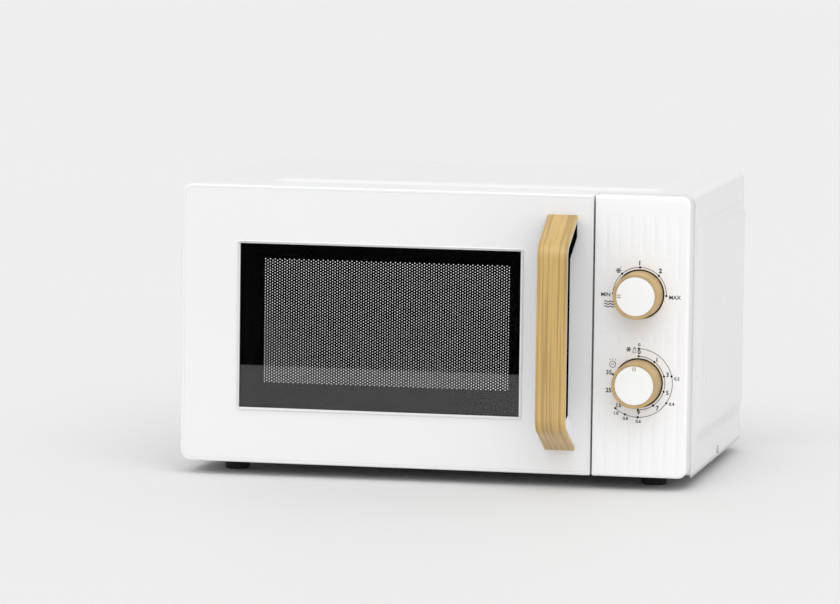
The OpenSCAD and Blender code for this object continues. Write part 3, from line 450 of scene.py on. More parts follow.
def merged(mesh: bpy.types.Mesh, reach: float) -> bmesh.types.BMesh:
    """Opens a mesh for editing, with its doubles joined and its empty faces gone.

    Args:
        mesh: The mesh.
        reach: Distance up to which two points count as one.

    Returns:
        The editable mesh.
    """
    shape = bmesh.new()
    shape.from_mesh(mesh)
    bmesh.ops.remove_doubles(shape, verts=shape.verts, dist=reach)
    bmesh.ops.dissolve_degenerate(shape, edges=shape.edges, dist=1e-7)
    return shape


def thicken(made: bpy.types.Object, name: str, wall: float) -> None:
    """Gives an open sheet its thickness, inward from the outer side.

    Args:
        made: The sheet.
        name: Name of the modifier.
        wall: The thickness.
    """
    change = made.modifiers.new(name, "SOLIDIFY")
    change.thickness = wall
    change.offset = -1.0


class Skin:
    """A mesh under construction, made of grids of points."""

    def __init__(self) -> None:
        """Starts with no points."""
        self.points: list[Array] = []
        self.faces: list[Array] = []
        self.count = 0

    def grid(self, points: Array, wrap_rows: bool = False, wrap_columns: bool = False) -> "Skin":
        """Adds a grid of four-sided faces.

        Args:
            points: Array of shape (rows, columns, 3).
            wrap_rows: Whether the last row meets the first.
            wrap_columns: Whether the last column meets the first.

        Returns:
            This skin.
        """
        m, n = points.shape[:2]
        index = np.arange(m * n).reshape(m, n) + self.count
        if wrap_rows:
            index = np.vstack([index, index[:1]])
        if wrap_columns:
            index = np.hstack([index, index[:, :1]])
        quads = np.stack([index[:-1, :-1], index[:-1, 1:], index[1:, 1:], index[1:, :-1]], axis=-1)
        return self.cells(points.reshape(-1, 3), quads.reshape(-1, 4))

    def cells(self, points: Array, quads: Array) -> "Skin":
        """Adds faces that need no grid.

        Args:
            points: Array of shape (points, 3).
            quads: Four indices per face, counted over the whole skin.

        Returns:
            This skin.
        """
        self.points.append(points)
        self.faces.append(quads)
        self.count += len(points)
        return self

    def holes(self, keep: Array) -> "Skin":
        """Drops faces of the grid added last.

        Args:
            keep: One truth value per face, in the shape (rows - 1, columns - 1).

        Returns:
            This skin.
        """
        self.faces[-1] = self.faces[-1][keep.reshape(-1)]
        return self

    def piece(self, name: str, body: str, finish: Finish, slot: str, replaces: tuple[str, ...] = (),
              facing: Vector | None = None, wall: float = 0.0, sharp: float = 40.0) -> bpy.types.Object:
        """Makes the object: merges doubles, turns the faces outward, thickens a sheet and dresses it.

        Args:
            name: Name of the piece.
            body: CAD body that it rides on.
            finish: Its finish.
            slot: The record's material slot; not used.
            replaces: CAD nodes that it stands for.
            facing: For an open sheet, the direction its outer side faces at its furthest point.
            wall: Thickness that an open sheet gets, inward.
            sharp: Angle in degrees past which an edge stays crisp.

        Returns:
            The finished object.
        """
        points, faces = np.concatenate(self.points), np.concatenate(self.faces)
        mesh = bpy.data.meshes.new(name)
        mesh.from_pydata(points, [], faces.tolist())
        shape = merged(mesh, 2e-6)
        bmesh.ops.recalc_face_normals(shape, faces=shape.faces)
        if facing is not None:
            best = max(shape.faces, key=lambda f: f.calc_center_median().dot(facing) + 1e-4 * f.calc_area())
            if best.normal.dot(facing) < 0:
                bmesh.ops.reverse_faces(shape, faces=shape.faces)
        shape.to_mesh(mesh)
        shape.free()
        mesh.shade_smooth()
        mesh.set_sharp_from_angle(angle=np.radians(sharp))
        made = placed(name, mesh)
        if wall:
            thicken(made, "wall", wall)
        return dress(made, body, finish, replaces)


def dress(made: bpy.types.Object, body: str, finish: Finish,
          replaces: tuple[str, ...] = ()) -> bpy.types.Object:
    """Gives a piece its material and body, and reports it.

    Args:
        made: The piece.
        body: CAD body that it rides on.
        finish: Its finish.
        replaces: CAD nodes that it stands for.

    Returns:
        The piece.
    """
    made.data.materials.clear()
    made.data.materials.append(finish.material())
    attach(made, body)
    if replaces:
        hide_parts(*replaces)
    log.info("%s: %d faces on %s", made.name, len(made.data.polygons), body)
    return made


@dataclass
class Outline:
    """Rounded rectangle in the XZ plane whose loops at any inset have matching points.

    Attributes:
        x0, z0, x1, z1: Its sides.
        radii: Corner radii, anticlockwise from the lower left.
        xs: X values along the lower and upper sides.
        zs: Z values along the left and right sides.
        squeeze: Factor on the inset at the left, lower, right and upper side.
        arc: Steps in a corner.
    """

    x0: float
    z0: float
    x1: float
    z1: float
    radii: tuple[float, float, float, float]
    xs: Array
    zs: Array
    squeeze: tuple[float, float, float, float] = (1.0, 1.0, 1.0, 1.0)
    arc: int = 8

    def at(self, inset: float) -> Array:
        """Points of the loop that lies inset inside the outline.

        A corner is an arc of its radius less the inset, about the same centre, and a plain corner
        once the inset is more than the radius. The sides' points keep their own X or Z where they can.

        Args:
            inset: Distance inside the outline.

        Returns:
            Points (x, z), anticlockwise from the lower left corner.
        """
        left, low, right, high = (self.squeeze[k] * inset for k in range(4))
        x0, z0, x1, z1 = self.x0 + left, self.z0 + low, self.x1 - right, self.z1 - high
        turn = np.linspace(0.0, np.pi / 2, self.arc + 1)
        corners = ((x0, z0, 1, 1, np.pi), (x1, z0, -1, 1, 1.5 * np.pi),
                   (x1, z1, -1, -1, 0.0), (x0, z1, 1, -1, np.pi / 2))
        loops, room = [], []
        for (x, z, sx, sz, start), radius in zip(corners, self.radii):
            r = max(radius - inset, 0.0)
            room.append(r)
            bend = np.stack([np.cos(start + turn), np.sin(start + turn)], 1)
            loops.append(np.array([x + sx * r, z + sz * r]) + r * bend)
        lower = np.clip(self.xs, x0 + room[0], x1 - room[1])
        upper = np.clip(self.xs[::-1], x0 + room[3], x1 - room[2])
        rise = np.clip(self.zs, z0 + room[1], z1 - room[2])
        fall = np.clip(self.zs[::-1], z0 + room[0], z1 - room[3])
        sides = (np.stack([lower, np.full_like(lower, z0)], 1), np.stack([np.full_like(rise, x1), rise], 1),
                 np.stack([upper, np.full_like(upper, z1)], 1), np.stack([np.full_like(fall, x0), fall], 1))
        return np.concatenate([part for pair in zip(loops, sides) for part in pair])

    def ring(self, inset: float, y: float) -> Array:
        """The loop at an inset, set at a depth.

        Args:
            inset: Distance inside the outline.
            y: Depth.

        Returns:
            Points (x, y, z).
        """
        return np.insert(self.at(inset), 1, y, axis=1)

    def cap(self, inset: float, y: float, middle: tuple[float, float]) -> Array:
        """The loop at an inset, drawn together at a point so that it closes the face.

        Args:
            inset: Distance inside the outline.
            y: Depth.
            middle: The point (x, z).

        Returns:
            Points (x, y, z).
        """
        return np.insert(middle + (self.at(inset) - middle) * SMALL, 1, y, axis=1)


def edge_profile(radius: float, steps: int) -> list[tuple[float, float]]:
    """Quarter round from the front face to the side wall.

    The inset is r (1 - sin a) and the depth r (1 - cos a), for a from 0 to 90 degrees.

    Args:
        radius: Radius of the round.
        steps: Number of facets.

    Returns:
        Pairs of inset and depth.
    """
    angles = np.linspace(0.0, np.pi / 2, steps + 1)
    return [(radius * (1 - np.sin(a)), radius * (1 - np.cos(a))) for a in angles]


def revolved(profile: Array, axis: str, centre: tuple[float, float], steps: int = 96) -> Array:
    """Turns a closed profile about an axis: each point (r, h) sweeps a circle of radius r at height h.

    Args:
        profile: Array of (radius, height) points.
        axis: "Y" or "Z".
        centre: The other two coordinates of the axis, in the order of X, then Y or Z.
        steps: Points round the circle.

    Returns:
        Array of shape (points, steps, 3).
    """
    turn = np.linspace(0.0, 2 * np.pi, steps, endpoint=False)
    across = profile[:, :1] * np.cos(turn) + centre[0]
    along = profile[:, :1] * np.sin(turn) + centre[1]
    height = np.repeat(profile[:, 1:], steps, axis=1)
    order = (across, height, along) if axis == "Y" else (across, along, height)
    return np.stack(order, axis=-1)


def rounded_profile(points: list[tuple[float, float]], radii: list[float], steps: int = 4) -> Array:
    """Polygon whose corners are replaced by short curves.

    A corner b between a and c becomes the curve (1-t)^2 p + 2t(1-t) b + t^2 q, where p and q lie
    the corner's radius away from b towards a and c.

    Args:
        points: Corners.
        radii: One radius per corner; 0 keeps it sharp.
        steps: Facets per corner.

    Returns:
        Array of points.
    """
    made = []
    corners = np.array(points, float)
    for i, radius in enumerate(radii):
        b = corners[i]
        if radius <= 0:
            made.append(b[None])
            continue
        to_a, to_c = corners[i - 1] - b, corners[(i + 1) % len(corners)] - b
        p = b + to_a / np.linalg.norm(to_a) * radius
        q = b + to_c / np.linalg.norm(to_c) * radius
        t = np.linspace(0.0, 1.0, steps + 1)[:, None]
        made.append((1 - t) ** 2 * p + 2 * t * (1 - t) * b + t ** 2 * q)
    return np.concatenate(made)


# ---------- cabinet ----------


@dataclass
class Cabinet:
    """Wrapper of painted steel with plates pressed into its top and sides.

    Attributes:
        sheet: Thickness of the steel.
        corner: Outer radius of the two upper edges.
        side_rise, top_rise: Height of the pressed plates.
        side_in, side_up: Distance of a side plate from the wrapper's ends and from its edges.
        side_run, top_run: Width of the plates' slopes.
        top_left, top_right, top_front, top_back: Distance of the top plate from the wrapper's sides.
        plate_corner: Corner radius of the plates.
        rear_round: Radius of the rear edge.
        close_rows: Distance from the front up to which rows stand close, for the top plate's slope.
        vents: Number of slots high in the left side.
        vent_pitch, vent_width, vent_height: Spacing and size of the slots.
        vent_in, vent_drop: Distance of the slots from the rear and below the roof.
        foot_radius, foot_taper: Radius of a foot, and how much narrower its lower end is.
    """

    sheet: float = 0.8 * MM
    corner: float = 7 * MM
    side_rise: float = 4.5 * MM
    top_rise: float = 2.5 * MM
    side_in: float = 8 * MM
    side_up: float = 22 * MM
    side_run: float = 16 * MM
    top_left: float = 61 * MM
    top_right: float = 30 * MM
    top_front: float = 20 * MM
    top_back: float = 35 * MM
    top_run: float = 7 * MM
    plate_corner: float = 16 * MM
    rear_round: float = 1.6 * MM
    close_rows: float = 48 * MM
    vents: int = 9
    vent_pitch: float = 8 * MM
    vent_width: float = 3 * MM
    vent_height: float = 26 * MM
    vent_in: float = 50 * MM
    vent_drop: float = 50 * MM
    foot_radius: float = 12 * MM
    foot_taper: float = 1.5 * MM

    def __post_init__(self) -> None:
        """Takes the wrapper's place from the frame, and works out its plates and slots."""
        self.ext = Extent.of("outer_cover")
        self.base = Extent.of("base_plate").z0
        self.wall_x = self.ext.x1 - self.side_rise
        self.roof_z = self.ext.z1 - self.top_rise
        self.side_plate = (self.ext.y0 + self.side_in, self.base + self.side_up,
                           self.ext.y1 - self.side_in, self.roof_z - self.side_up)
        self.top_plate = (self.top_left - self.wall_x, self.ext.y0 + self.top_front,
                          self.wall_x - self.top_right, self.ext.y1 - self.top_back)
        self.slots = [self.ext.y1 - self.vent_in - k * self.vent_pitch for k in range(self.vents)]
        self.slot_high = self.roof_z - self.vent_drop
        self.slot_low = self.slot_high - self.vent_height

    def plate(self, u: Array, v: Array, sides: tuple[float, float, float, float], run: float,
              rise: float) -> Array:
        """Height of a pressed plate: a smooth step of the distance inside a rounded rectangle.

        Args:
            u, v: Coordinates in the wall's plane.
            sides: Lowest u and v, then highest u and v, of the slope's foot.
            run: Width of the slope.
            rise: Height of the plate.

        Returns:
            Height at each point.
        """
        r = self.plate_corner
        du = np.abs(u - (sides[0] + sides[2]) / 2) - (sides[2] - sides[0]) / 2 + r
        dv = np.abs(v - (sides[1] + sides[3]) / 2) - (sides[3] - sides[1]) / 2 + r
        outside = np.hypot(np.maximum(du, 0), np.maximum(dv, 0)) + np.minimum(np.maximum(du, dv), 0) - r
        return rise * smooth_step(-outside / run)

    def stations(self) -> Array:
        """Y of each row of points, close together on the slopes and at the slots' edges.

        Returns:
            The Y values.
        """
        front, rear, run = self.ext.y0, self.ext.y1, self.side_run
        plate_front, plate_rear = self.side_plate[0], self.side_plate[2]
        even = front + self.close_rows
        return rows((front, front + 1 * MM, 1), (front + 1 * MM, plate_front, 2),
                    (plate_front, plate_front + run, 8), (plate_front + run, even, 8),
                    (even, self.slots[-1], 24), *[(y, y + self.vent_width, 1) for y in self.slots],
                    (self.slots[0] + self.vent_width, plate_rear - run, 6),
                    (plate_rear - run, plate_rear, 8), (plate_rear, rear - self.rear_round, 2),
                    (rear - self.rear_round, rear, 4))

    def section(self) -> tuple[Array, Array, Array, Array]:
        """Upturned U in XZ: left side, bend, roof, bend and right side, without the plates.

        Returns:
            X and Z of each point, and X and Z of its outward direction.
        """
        low, high, run, r = self.side_plate[1], self.side_plate[3], self.side_run, self.corner
        side = rows((self.ext.z0, low, 6), (low, low + run, 8), (low + run, self.slot_low, 24),
                    (self.slot_low, self.slot_high, 4), (self.slot_high, high - run, 3),
                    (high - run, high, 8), (high, self.roof_z - r, 4))
        x0, x1, slope = self.top_plate[0], self.top_plate[2], self.top_run
        top = rows((r - self.wall_x, x0, 10), (x0, x0 + slope, 6), (x0 + slope, x1 - slope, 60),
                   (x1 - slope, x1, 6), (x1, self.wall_x - r, 6))
        bend = np.radians(np.linspace(0, 90, 9))[1:-1]
        corner_x, corner_z = self.wall_x - r, self.roof_z - r
        xs = np.concatenate([np.full_like(side, -self.wall_x), -corner_x - r * np.cos(bend), top,
                             corner_x + r * np.sin(bend), np.full_like(side, self.wall_x)])
        zs = np.concatenate([side, corner_z + r * np.sin(bend), np.full_like(top, self.roof_z),
                             corner_z + r * np.cos(bend), side[::-1]])
        nx = np.concatenate([np.full_like(side, -1.0), -np.cos(bend), np.zeros_like(top), np.sin(bend),
                             np.full_like(side, 1.0)])
        return xs, zs, nx, np.sqrt(np.maximum(1 - nx ** 2, 0))

    def cover(self) -> bpy.types.Object:
        """The wrapper: its section carried along Y and pushed out by the plates' height.

        The rear edge rounds inward as r - sqrt(r^2 - d^2), for a distance d into the round.

        Returns:
            The piece.
        """
        ys, r = self.stations(), self.rear_round
        xs, zs, nx, nz = self.section()
        x, y = np.meshgrid(xs, ys, indexing="ij")
        z = np.repeat(zs[:, None], len(ys), axis=1)
        on_side, on_roof = np.abs(nx)[:, None] == 1, nz[:, None] == 1
        push = self.plate(y, z, self.side_plate, self.side_run, self.side_rise) * on_side
        push = push + self.plate(x, y, self.top_plate, self.top_run, self.top_rise) * on_roof
        late = np.clip(ys - (self.ext.y1 - r), 0, r)
        push = push - (r - np.sqrt(r ** 2 - late ** 2))
        points = np.stack([x + push * nx[:, None], y, z + push * nz[:, None]], axis=-1)
        mid_x, mid_y, mid_z = ((v[:-1] + v[1:]) / 2 for v in (xs, ys, zs))
        in_slot = np.zeros(len(mid_y), bool)
        for slot in self.slots:
            in_slot |= (mid_y > slot) & (mid_y < slot + self.vent_width)
        in_row = (mid_z > self.slot_low) & (mid_z < self.slot_high) & (mid_x < 0)
        skin = Skin().grid(points).holes(~(in_row[:, None] & in_slot[None, :]))
        return skin.piece("cover_shell", "cabinet", FINISHES["white_cover"], "white_cover",
                          ("outer_cover",), Vector((0, 0, 1)), self.sheet)

    def feet(self) -> bpy.types.Object:
        """Four rubber feet, each a turned profile with a rounded edge.

        Returns:
            The piece.
        """
        ext, skin = Extent.of("feet"), Skin()
        r, h, core = self.foot_radius, self.base, SMALL * MM
        outline = rounded_profile([(core, 0), (r - self.foot_taper, 0), (r, h), (core, h)],
                                  [0, 1.2 * MM, 0.6 * MM, 0])
        for x in (ext.x0 + r, ext.x1 - r):
            for y in (ext.y0 + r, ext.y1 - r):
                skin.grid(revolved(outline, "Z", (x, y), 40), wrap_columns=True)
        return skin.piece("rubber_feet", "cabinet", FINISHES["rubber"], "rubber", ("feet",))


# ---------- control panel ----------


@dataclass
class Flutes:
    """Soft upright grooves in the control panel, which fade out round the dials.

    Attributes:
        first: Distance of the first groove from the panel's left edge.
        pitch: Distance between grooves.
        count: Number of grooves.
        width: Half width of a groove.
        depth: Depth of a groove.
        clear, fade: Radius round a dial that stays flat, and the width of the fade beyond it.
        top_clear, top_fade: Height at the top that stays flat, and the height of the fade below it.
    """

    first: float = 10.2 * MM
    pitch: float = 10.4 * MM
    count: int = 7
    width: float = 1.5 * MM
    depth: float = 0.5 * MM
    clear: float = 33 * MM
    fade: float = 6 * MM
    top_clear: float = 14 * MM
    top_fade: float = 8 * MM

    def centres(self, left: float) -> Array:
        """X of each groove, for the panel's left edge."""
        return left + self.first + self.pitch * np.arange(self.count)

    def lines(self, left: float, right: float) -> Array:
        """X values that follow the grooves closely between two edges.

        Args:
            left, right: Edges of the flat face.

        Returns:
            The X values.
        """
        steps = np.array([-1.8, -1.2, -0.8, -0.4, 0, 0.4, 0.8, 1.2, 1.8]) * self.width
        xs = (self.centres(left)[:, None] + steps).reshape(-1)
        return xs[xs < right - 0.1 * MM]

    def sink(self, x: Array, z: Array, left: float, top: float, dials: list[tuple[float, float]]) -> Array:
        """Depth of the grooves: the sum of exp(-((x - xi) / w)^2), faded near the dials and the top.

        Args:
            x, z: Points on the panel's face.
            left, top: The panel's left and upper edge.
            dials: Centres of the dials.

        Returns:
            Depth at each point.
        """
        waves = np.exp(-((x[..., None] - self.centres(left)) / self.width) ** 2).sum(-1)
        near = np.min([np.hypot(x - cx, z - cz) for cx, cz in dials], axis=0)
        round_dials = smooth_step((near - self.clear) / self.fade)
        under_top = smooth_step((top - self.top_clear - z) / self.top_fade)
        return self.depth * waves * round_dials * under_top


@dataclass
class ControlPanel:
    """Moulded front of the control side with a recess for each dial.

    Attributes:
        edge: Radius of the outer edge.
        corner: Corner radius of the right side.
        wall: Thickness of the moulding.
        left: Share of the edge's radius that the side next to the door keeps.
        recess_gap: Room round a dial's ring.
        rim_run, rim_depth: Width of the round at a recess's rim, and the depth to which it is white.
        well_depth, well_wall: Depth and thickness of the near-black well behind a dial, painted shade in the
            recess.
        shaft_hole: Radius of the hole for a dial's shaft.
        flutes: The face's grooves.
    """

    edge: float = 2.5 * MM
    corner: float = 7 * MM
    wall: float = 2 * MM
    left: float = 0.35
    recess_gap: float = 1.1 * MM
    rim_run: float = 0.35 * MM
    rim_depth: float = 0.7 * MM
    well_depth: float = 6 * MM
    well_wall: float = 0.8 * MM
    shaft_hole: float = 4 * MM
    flutes: Flutes = field(default_factory=Flutes)

    def __post_init__(self) -> None:
        """Takes the panel's place and the dials' centres from the frame."""
        self.ext = Extent.of("control_panel")
        self.dials = []
        for node in ("power_ring", "timer_ring"):
            ext = Extent.of(node)
            self.dials.append((ext.centre[0], ext.centre[2]))
        self.ring_radius = (ext.x1 - ext.x0) / 2

    def face(self, x: Array, z: Array) -> Array:
        """Points of the fluted front face above (x, z).

        Args:
            x, z: Coordinates in the panel's plane.

        Returns:
            Points (x, y, z).
        """
        sink = self.flutes.sink(x, z, self.ext.x0, self.ext.z1, self.dials)
        return np.stack([x, self.ext.y0 + sink, z], axis=-1)

    def dial_patch(self, skin: Skin, centre: tuple[float, float], xs: Array, zs: Array) -> None:
        """Part of the face round one dial.

        Each ray runs from the recess's circle to a point of the patch's edge, as
        (1 - t) circle + t edge, and on into the recess down to the shaft's hole.

        Args:
            skin: The mesh that the patch is added to.
            centre: The dial's centre.
            xs, zs: The lines on the patch's edge.
        """
        hub = np.array(centre)
        edge = np.concatenate([
            np.stack([xs, np.full_like(xs, zs[0])], 1), np.stack([np.full_like(zs, xs[-1]), zs], 1)[1:],
            np.stack([xs[::-1], np.full_like(xs, zs[-1])], 1)[1:],
            np.stack([np.full_like(zs, xs[0]), zs[::-1]], 1)[1:-1],
        ])
        out = edge - hub
        out = out / np.linalg.norm(out, axis=1, keepdims=True)
        lip = self.ring_radius + self.recess_gap
        t = np.linspace(0.0, 1.0, 27)[:, None, None]
        flat = (1 - t) * (hub + (lip + self.rim_run) * out) + t * edge
        skin.grid(self.face(flat[..., 0], flat[..., 1]), wrap_columns=True)
        steps = [(lip + self.rim_run, 0.0), (lip + 0.15 * MM, 0.05 * MM), (lip, 0.25 * MM),
                 (lip, self.rim_depth)]
        bowl = [np.insert(hub + r * out, 1, self.ext.y0 + depth, axis=1) for r, depth in steps]
        skin.grid(np.stack(bowl), wrap_columns=True)

    def wells(self) -> bpy.types.Object:
        """Near-black wells behind the dials, painted shade in the recesses: rings turned from an L, a tube
        with a floor round the shaft.

        Returns:
            The piece.
        """
        r, hole, wall = self.ring_radius + self.recess_gap + 0.02 * MM, self.shaft_hole, self.well_wall
        mouth, deep = self.ext.y0 + self.rim_depth, self.ext.y0 + self.well_depth
        outline = np.array([(r, mouth), (r + wall, mouth), (r + wall, deep + wall), (hole, deep + wall),
                            (hole, deep), (r, deep)])
        skin = Skin()
        for hub in self.dials:
            skin.grid(revolved(outline, "Y", hub), True, True)
        # The wells are near-black: painted shade in the gap round each dial.
        return skin.piece("painted_shade_dial_wells", "cabinet", PAINTED_SHADE_DIAL_WELL, "grey_plastic")

    def shell(self) -> bpy.types.Object:
        """The moulding: fluted face, openings for the dials, rounded edges and side walls.

        Returns:
            The piece.
        """
        ext, e = self.ext, self.edge
        left, right = ext.x0 + e * self.left, ext.x1 - self.corner - 0.5 * MM
        low, high = ext.z0 + e, ext.z1 - e
        xs = np.unique(np.round(np.concatenate([[left, right], self.flutes.lines(ext.x0, right)]), 7))
        (x_hi, z_hi), (x_lo, z_lo) = self.dials
        half = (z_hi - z_lo) / 2
        marks = [low, z_lo - half, z_lo + half, z_hi + half, high]
        skin = Skin()
        spans = [rows((marks[k], marks[k + 1], n)) for k, n in enumerate((16, 32, 32, 14))]
        for zs in (spans[0], spans[3]):
            gx, gz = np.meshgrid(xs, zs, indexing="ij")
            skin.grid(self.face(gx, gz))
        self.dial_patch(skin, (x_lo, z_lo), xs, spans[1])
        self.dial_patch(skin, (x_hi, z_hi), xs, spans[2])
        zs = np.unique(np.concatenate(spans))
        outline = Outline(ext.x0, ext.z0, ext.x1, ext.z1, (1.5 * MM, self.corner, self.corner, 1.5 * MM),
                          xs, zs, (self.left, 1.0, 1.0, 1.0))
        inner = Outline(left, low, right, high, (0.0, 0.0, 0.0, 0.0), xs, zs)
        loops = [inner.at(0.0), outline.at(e)]
        rings = [self.face(loop[:, 0], loop[:, 1]) for loop in loops]
        for inset, depth in edge_profile(e, 6)[1:]:
            ring = outline.ring(inset, ext.y0 + depth)
            ring[:, 1] += self.flutes.sink(ring[:, 0], ring[:, 2], ext.x0, ext.z1, self.dials) * inset / e
            rings.append(ring)
        rings += [outline.ring(0.0, ext.y0 + e + 0.6 * MM), outline.ring(0.0, ext.y1)]
        skin.grid(np.stack(rings), wrap_columns=True)
        return skin.piece("panel_shell", "cabinet", PANEL_WHITE, "white_front",
                          ("control_panel",), Vector((0, -1, 0)), self.wall, 50.0)


class Prints:
    """Thin print on a flat face: arcs, dots, numbers and small signs, all one piece."""

    INK = 0.05 * MM

    def __init__(self, y: float, lift: float = 0.06 * MM) -> None:
        """Starts an empty print.

        Args:
            y: Depth of the face that carries it.
            lift: How far it stands off the face.
        """
        self.y = y - lift
        self.skin = Skin()
        self.letters: list[tuple[Array, list[list[int]]]] = []

    def ribbon(self, path: Array, width: float) -> None:
        """Flat band along a path: each point moved half the width to either side of its tangent.

        Args:
            path: Points (x, z).
            width: Width of the band.
        """
        tangent = np.gradient(path, axis=0)
        tangent = tangent / np.linalg.norm(tangent, axis=1, keepdims=True)
        side = np.stack([-tangent[:, 1], tangent[:, 0]], 1) * width / 2
        flat = np.stack([path + side, path - side])
        self.skin.grid(np.insert(flat, 1, self.y, axis=2))

    def arc(self, hub: tuple[float, float], radius: float, start: float, end: float, width: float) -> None:
        """Band along an arc.

        Args:
            hub: Centre (x, z).
            radius: Radius of the arc.
            start, end: Its ends, in degrees clockwise from the top.
            width: Width of the band.
        """
        turn = np.radians(np.linspace(start, end, max(int(abs(end - start) / 5), 3) + 1))
        self.ribbon(np.stack([hub[0] + radius * np.sin(turn), hub[1] + radius * np.cos(turn)], 1), width)

    def dot(self, hub: tuple[float, float], radius: float, angle: float, size: float) -> None:
        """Round dot on an arc.

        Args:
            hub: Centre of the arc.
            radius: Radius of the arc.
            angle: Place of the dot, in degrees clockwise from the top.
            size: Width of the dot.
        """
        a = np.radians(angle)
        centre = (hub[0] + radius * np.sin(a), hub[1] + radius * np.cos(a))
        self.arc(centre, size / 2, 0, 360, size)

    def stroke(self, hub: tuple[float, float], points: list[tuple[float, float]], width: float) -> None:
        """Straight band through points given from a centre, in millimetres."""
        self.ribbon(np.array(hub) + np.array(points) * MM, width)

    def word(self, text: str, hub: tuple[float, float], offset: tuple[float, float], size: float,
             weight: float = 0.0) -> None:
        """Sets a number or a dial word.

        Args:
            text: What it says.
            hub: Centre that the offset is measured from.
            offset: Place of the word's middle, in millimetres.
            size: Height of the type in millimetres.
            weight: Extra thickness of the strokes in millimetres.
        """
        curve = bpy.data.curves.new("type", "FONT")
        curve.body = text
        curve.size = size * MM
        curve.align_x = "CENTER"
        curve.align_y = "CENTER"
        curve.offset = weight * MM
        curve.resolution_u = 3
        setter = placed("type", curve)
        drawn = bpy.data.meshes.new_from_object(setter.evaluated_get(bpy.context.evaluated_depsgraph_get()))
        flat = np.zeros(len(drawn.vertices) * 3)
        drawn.vertices.foreach_get("co", flat)
        flat = flat.reshape(-1, 3)
        x = flat[:, 0] + hub[0] + offset[0] * MM
        z = flat[:, 1] + hub[1] + offset[1] * MM
        faces = [list(polygon.vertices) for polygon in drawn.polygons]
        self.letters.append((np.stack([x, np.full_like(x, self.y), z], 1), faces))
        bpy.data.objects.remove(setter)
        bpy.data.curves.remove(curve)
        bpy.data.meshes.remove(drawn)

    def piece(self, name: str, body: str, finish: Finish, slot: str) -> bpy.types.Object:
        """Joins the bands and the type into one thin piece.

        Args:
            name: Name of the piece.
            body: CAD body that it rides on.
            finish: Its finish.
            slot: The record's material slot; not used.

        Returns:
            The piece.
        """
        points, faces = np.concatenate(self.skin.points), np.concatenate(self.skin.faces).tolist()
        batches, count = [points], len(points)
        for letters, polygons in self.letters:
            faces += [[count + k for k in polygon] for polygon in polygons]
            batches.append(letters)
            count += len(letters)
        mesh = bpy.data.meshes.new(name)
        mesh.from_pydata(np.concatenate(batches), [], faces)
        shape = merged(mesh, 1e-6)
        away = [face for face in shape.faces if face.normal.y > 0]
        bmesh.ops.reverse_faces(shape, faces=away)
        shape.to_mesh(mesh)
        shape.free()
        made = placed(name, mesh)
        thicken(made, "ink", self.INK)
        return dress(made, body, finish)


